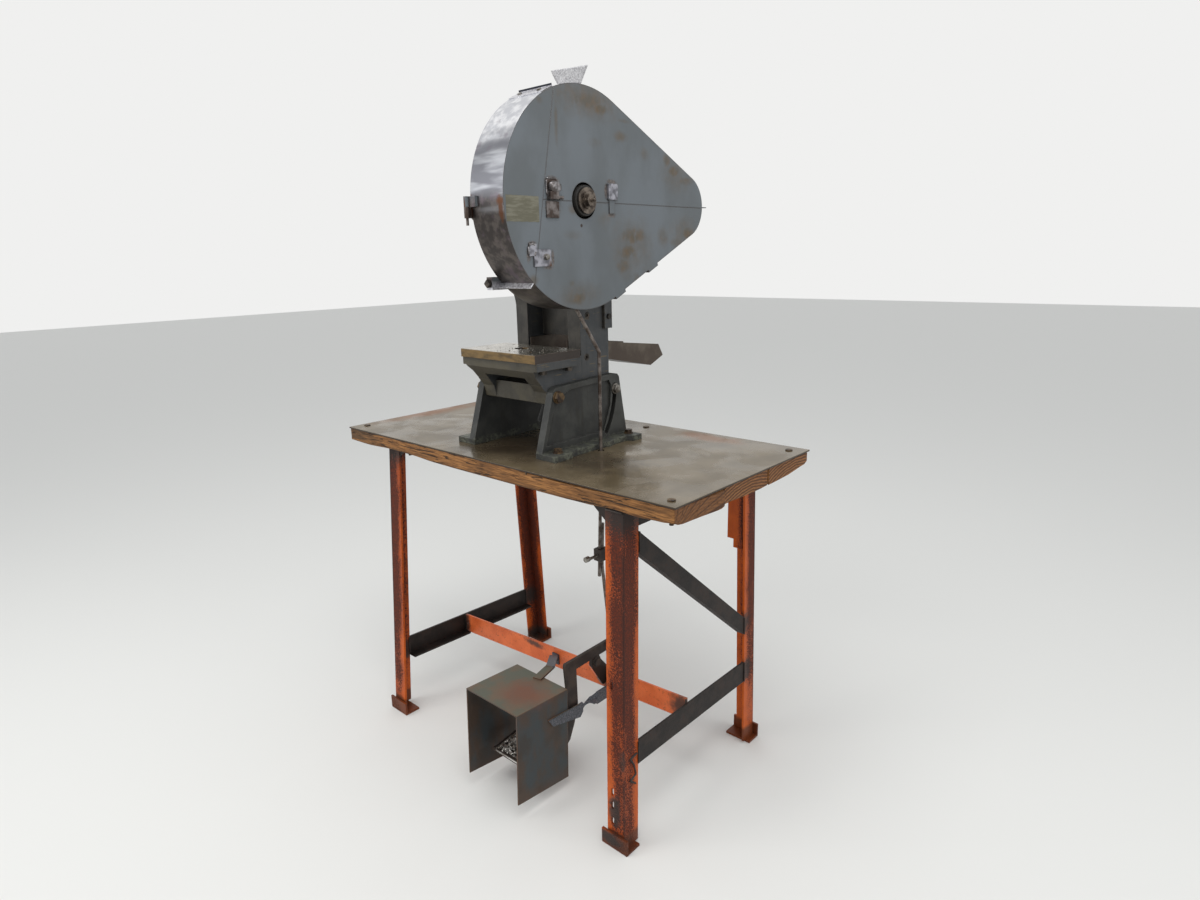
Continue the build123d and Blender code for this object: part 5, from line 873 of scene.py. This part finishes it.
# Beads of the tab and of the lug on the guard's face, as (Y, Z) places
WELD_X = GUARD_FACE + 1.5
TAB_BEADS = (((-300, 1412), (-292, 1414), (-283, 1412)), ((-301, 1392), (-302, 1408)),
             ((-284, 1388), (-281, 1398)))
LUG_BEADS = (((-242, 1518), (-242, 1545)), ((-206, 1546), (-206, 1520)), ((-240, 1549), (-210, 1549)))
for name, lines, radius, body, seed in (("guard_welds", TAB_BEADS, 4.0, "door", 5),
                                        ("lug_welds", LUG_BEADS, 2.6, "press", 6)):
    lines = [[(WELD_X, y, z) for y, z in line] for line in lines]
    beads(name, lines, radius, weld_bright, body, seed)

chance = random.Random(9)
pillow("hasp_lug", (240, -222, 1531), (8, 17, 12), chance, weld_bright, "press")
pillow("edge_nail", (175, -286.2, 893.5), (3.2, 1.8, 3.2), chance, dull, "table", 2.0)

# Raised sheet cheeks beside the head of the chute: their outline as (Y, Z)
CHEEK_OUTLINE = ((-20, 1150), (-20, 1176), (78, 1178), (118, 1172), (150, 1152))
CHUTE_HALF = 70
CHEEK_OUT = CHUTE_HALF - 0.3
CHEEK_GAUGE = 1.8
cheek_points, cheek_faces = [], []
for side in (-1, 1):
    start = len(cheek_points)
    count = len(CHEEK_OUTLINE)
    for depth in (CHEEK_OUT, CHEEK_OUT - CHEEK_GAUGE):
        cheek_points += [(side * depth, y, z) for y, z in CHEEK_OUTLINE]
    ring = list(range(start, start + count))
    if side > 0:
        ring.reverse()
    cheek_faces.append(tuple(ring))
    cheek_faces.append(tuple(a + count for a in reversed(ring)))
    for a, b in zip(ring, ring[1:] + ring[:1]):
        cheek_faces.append((b, a, a + count, b + count))
make_mesh("chute_cheeks", cheek_points, cheek_faces, chute_look, "press", smooth=False)

# Rippled tape on the guard's face
TAPE_LIFT = 0.25
TAPE_FRONT, TAPE_REAR = -357.5, -264.5
TAPE_LOW, TAPE_HIGH = 1458, 1511
TAPE_STEPS = 13
tape_look = Look("tape")
ripple = tape_look.noise(14, 4, 0.6, stretch=(1, 3, 0.6))
tape_color = tape_look.tones(ripple, 0.4, 0.6, (92, 89, 72), (114, 111, 95))
tape_look.finish(tape_color, 0.3, 0.0, [(ripple, 0.6)])
tape_points, tape_faces = [], []
for i in range(TAPE_STEPS + 1):
    y = TAPE_FRONT + i * (TAPE_REAR - TAPE_FRONT) / TAPE_STEPS
    for z in (TAPE_LOW + (i % 3) * 0.4, TAPE_HIGH - (i % 2) * 0.5):
        tape_points.append((GUARD_FACE + TAPE_LIFT, y, z))
    if i:
        a = 2 * i
        tape_faces.append((a - 2, a, a + 1, a - 1))
make_mesh("tape_patch", tape_points, tape_faces, tape_look.material, "door")

# Galvanised flap, bent and torn loose at its corner
FLAP_CORNERS = ((231, -194, 1739), (231, -121, 1750), (249, -117, 1785), (236, -216, 1761))
FLAP_STEPS = 12
FLAP_GAUGE = 1.2
FLAP_WAVE = 3
flap_points, flap_faces = [], []
low_left, low_right, high_right, high_left = [Vector(corner) for corner in FLAP_CORNERS]
for lift in (0, FLAP_GAUGE):
    for i in range(FLAP_STEPS + 1):
        for j in range(FLAP_STEPS + 1):
            a, b = i / FLAP_STEPS, j / FLAP_STEPS
            point = low_left.lerp(low_right, a).lerp(high_left.lerp(high_right, a), b)
            point.x += FLAP_WAVE * noise.noise(point / 22) * b - lift
            flap_points.append(point)
side = FLAP_STEPS + 1
for i in range(FLAP_STEPS):
    for j in range(FLAP_STEPS):
        a = i * side + j
        flap_faces.append((a, a + side, a + side + 1, a + 1))
        flap_faces.append(tuple(side * side + k for k in (a, a + 1, a + side + 1, a + side)))
for i in range(FLAP_STEPS):
    for a, b in ((i, i + 1), (FLAP_STEPS * side + i + 1, FLAP_STEPS * side + i), ((i + 1) * side, i * side),
                 (i * side + FLAP_STEPS, (i + 1) * side + FLAP_STEPS)):
        flap_faces.append((a, b, side * side + b, side * side + a))
flap = make_mesh("bent_flap", flap_points, flap_faces, zinc_look(), "press")
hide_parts("top_flap")

# Bright punch slugs and chips on the pedal and the bolster
FLAKE_GAUGE = 0.35
PEDAL_FRONT_Y, PEDAL_FRONT_Z = -322, 102
PEDAL_RUN, PEDAL_RISE = 97, 12
PEDAL_LIFT = 1.5
PEDAL_CHIPS_X, PEDAL_CHIPS_Y = (44, 180), (-318, -232)
MOUND_X, MOUND_Y, MOUND_HEIGHT = 120, -286, 18
MOUND_SPREAD_X, MOUND_SPREAD_Y = 52, 34
# Middle and spread of the chips on the bolster, and the band they stay in
BOLSTER_CHIPS_X, BOLSTER_CHIPS_Y = (20, 55), (-150, 30)
BOLSTER_FRONT, BOLSTER_REAR = -205, -60
BOLSTER_CHIP_Z = 1160.2


def flake(chance, center, size):
    """Small bent flake of sheet."""
    turn = Matrix.Rotation(chance.uniform(0, math.tau), 3, "Z")
    for axis in ("X", "Y"):
        turn = turn @ Matrix.Rotation(chance.uniform(-0.9, 0.9), 3, axis)
    wide = size * chance.uniform(0.25, 0.8)
    bend = size * chance.uniform(0.0, 0.45)
    corners = []
    for lift in (0, FLAKE_GAUGE):
        for x, y in ((-size, -wide), (0, -wide), (size, -wide), (size, wide), (0, wide), (-size, wide)):
            corners.append(Vector(center) + turn @ Vector((x, y, lift + (bend if x == 0 else 0))))
    faces = [(0, 1, 4, 5), (1, 2, 3, 4), (6, 11, 10, 7), (7, 10, 9, 8)]
    faces += [(k, 6 + k, 6 + (k + 1) % 6, (k + 1) % 6) for k in range(6)]
    return corners, faces


def heap(name, count, seed, spot, material, body, sizes):
    """Heap of flakes, each at a place that spot draws."""
    chance = random.Random(seed)
    verts, faces = [], []
    for _ in range(count):
        center = spot(chance)
        new_verts, new_faces = flake(chance, center, chance.uniform(*sizes))
        faces += [tuple(len(verts) + i for i in face) for face in new_faces]
        verts += new_verts
    return make_mesh(name, verts, faces, material, body, smooth=False)


def pedal_spot(chance):
    """Point in a low mound on the pedal."""
    x = chance.uniform(*PEDAL_CHIPS_X)
    y = chance.uniform(*PEDAL_CHIPS_Y)
    top = PEDAL_FRONT_Z + (y - PEDAL_FRONT_Y) * PEDAL_RISE / PEDAL_RUN
    off_x, off_y = (x - MOUND_X) / MOUND_SPREAD_X, (y - MOUND_Y) / MOUND_SPREAD_Y
    rise = MOUND_HEIGHT * math.exp(-off_x ** 2 - off_y ** 2)
    return x, y, top + PEDAL_LIFT + chance.uniform(0, 1) * rise


def bolster_spot(chance):
    """Point near the front middle of the bolster."""
    x = chance.gauss(*BOLSTER_CHIPS_X)
    y = chance.gauss(*BOLSTER_CHIPS_Y)
    return x, max(BOLSTER_FRONT, min(BOLSTER_REAR, y)), BOLSTER_CHIP_Z


beads("pedal_rim", [[(184, -325, 101), (47, -325, 101), (43, -320, 102.5), (43, -232, 113)]], 3.4, lit,
      "treadle", seed=8)
heap("pedal_chips", 900, 11, pedal_spot, chip_look, "treadle", (1.6, 4.2))
heap("bolster_chips", 46, 12, bolster_spot, chip_look, "press", (0.6, 1.8))

# Floor
floor_look = bpy.data.materials.new("pale_floor")
floor_look.use_nodes = True
floor_shader = floor_look.node_tree.nodes["Principled BSDF"]
floor_shader.inputs["Base Color"].default_value = paint(226, 225, 221)
floor_shader.inputs["Roughness"].default_value = 0.7
FLOOR_SIZE = 40
FLOOR_DROP = 0.0005
bpy.ops.mesh.primitive_plane_add(size=FLOOR_SIZE, location=(0, 0, -FLOOR_DROP))
floor = bpy.context.object
floor.name = "floor"
floor.data.materials.append(floor_look)

# World: even light, and a pale backdrop where the camera and the gloss look
world = bpy.data.worlds.new("studio")
bpy.context.scene.world = world
world.use_nodes = True
world_tree = world.node_tree
background = world_tree.nodes["Background"]
background.inputs["Color"].default_value = paint(240, 243, 246)
background.inputs["Strength"].default_value = 0.78
backdrop = world_tree.nodes.new("ShaderNodeBackground")
backdrop.inputs["Color"].default_value = paint(240, 240, 239)
backdrop.inputs["Strength"].default_value = 1.0
ray = world_tree.nodes.new("ShaderNodeLightPath")
seen = ray.outputs["Is Camera Ray"]
for kind in ("Is Glossy Ray", "Is Transmission Ray"):
    either = world_tree.nodes.new("ShaderNodeMath")
    either.operation = "MAXIMUM"
    world_tree.links.new(seen, either.inputs[0])
    world_tree.links.new(ray.outputs[kind], either.inputs[1])
    seen = either.outputs[0]
choice = world_tree.nodes.new("ShaderNodeMixShader")
world_tree.links.new(seen, choice.inputs[0])
world_tree.links.new(background.outputs[0], choice.inputs[1])
world_tree.links.new(backdrop.outputs[0], choice.inputs[2])
world_tree.links.new(choice.outputs[0], world_tree.nodes["World Output"].inputs["Surface"])


def area_light(name, place, target, size, power):
    """Soft light at a place that points at a target, in metres."""
    data = bpy.data.lights.new(name, "AREA")
    data.shape = "RECTANGLE"
    data.size, data.size_y = size
    data.energy = power
    made = bpy.data.objects.new(name, data)
    bpy.context.scene.collection.objects.link(made)
    made.location = place
    made.rotation_euler = (Vector(target) - Vector(place)).to_track_quat("-Z", "Y").to_euler()


# Lamps: place, target, size in metres and power
area_light("overhead", (0.6, -1.2, 3.6), (0, 0, 0.9), (3.0, 1.2), 52)
area_light("front", (-1.6, -3.0, 2.4), (0, 0, 1.1), (1.6, 1.6), 26)
area_light("side", (3.2, 0.6, 2.6), (0, 0, 1.1), (1.6, 1.6), 18)

bpy.context.scene.view_settings.view_transform = "Standard"
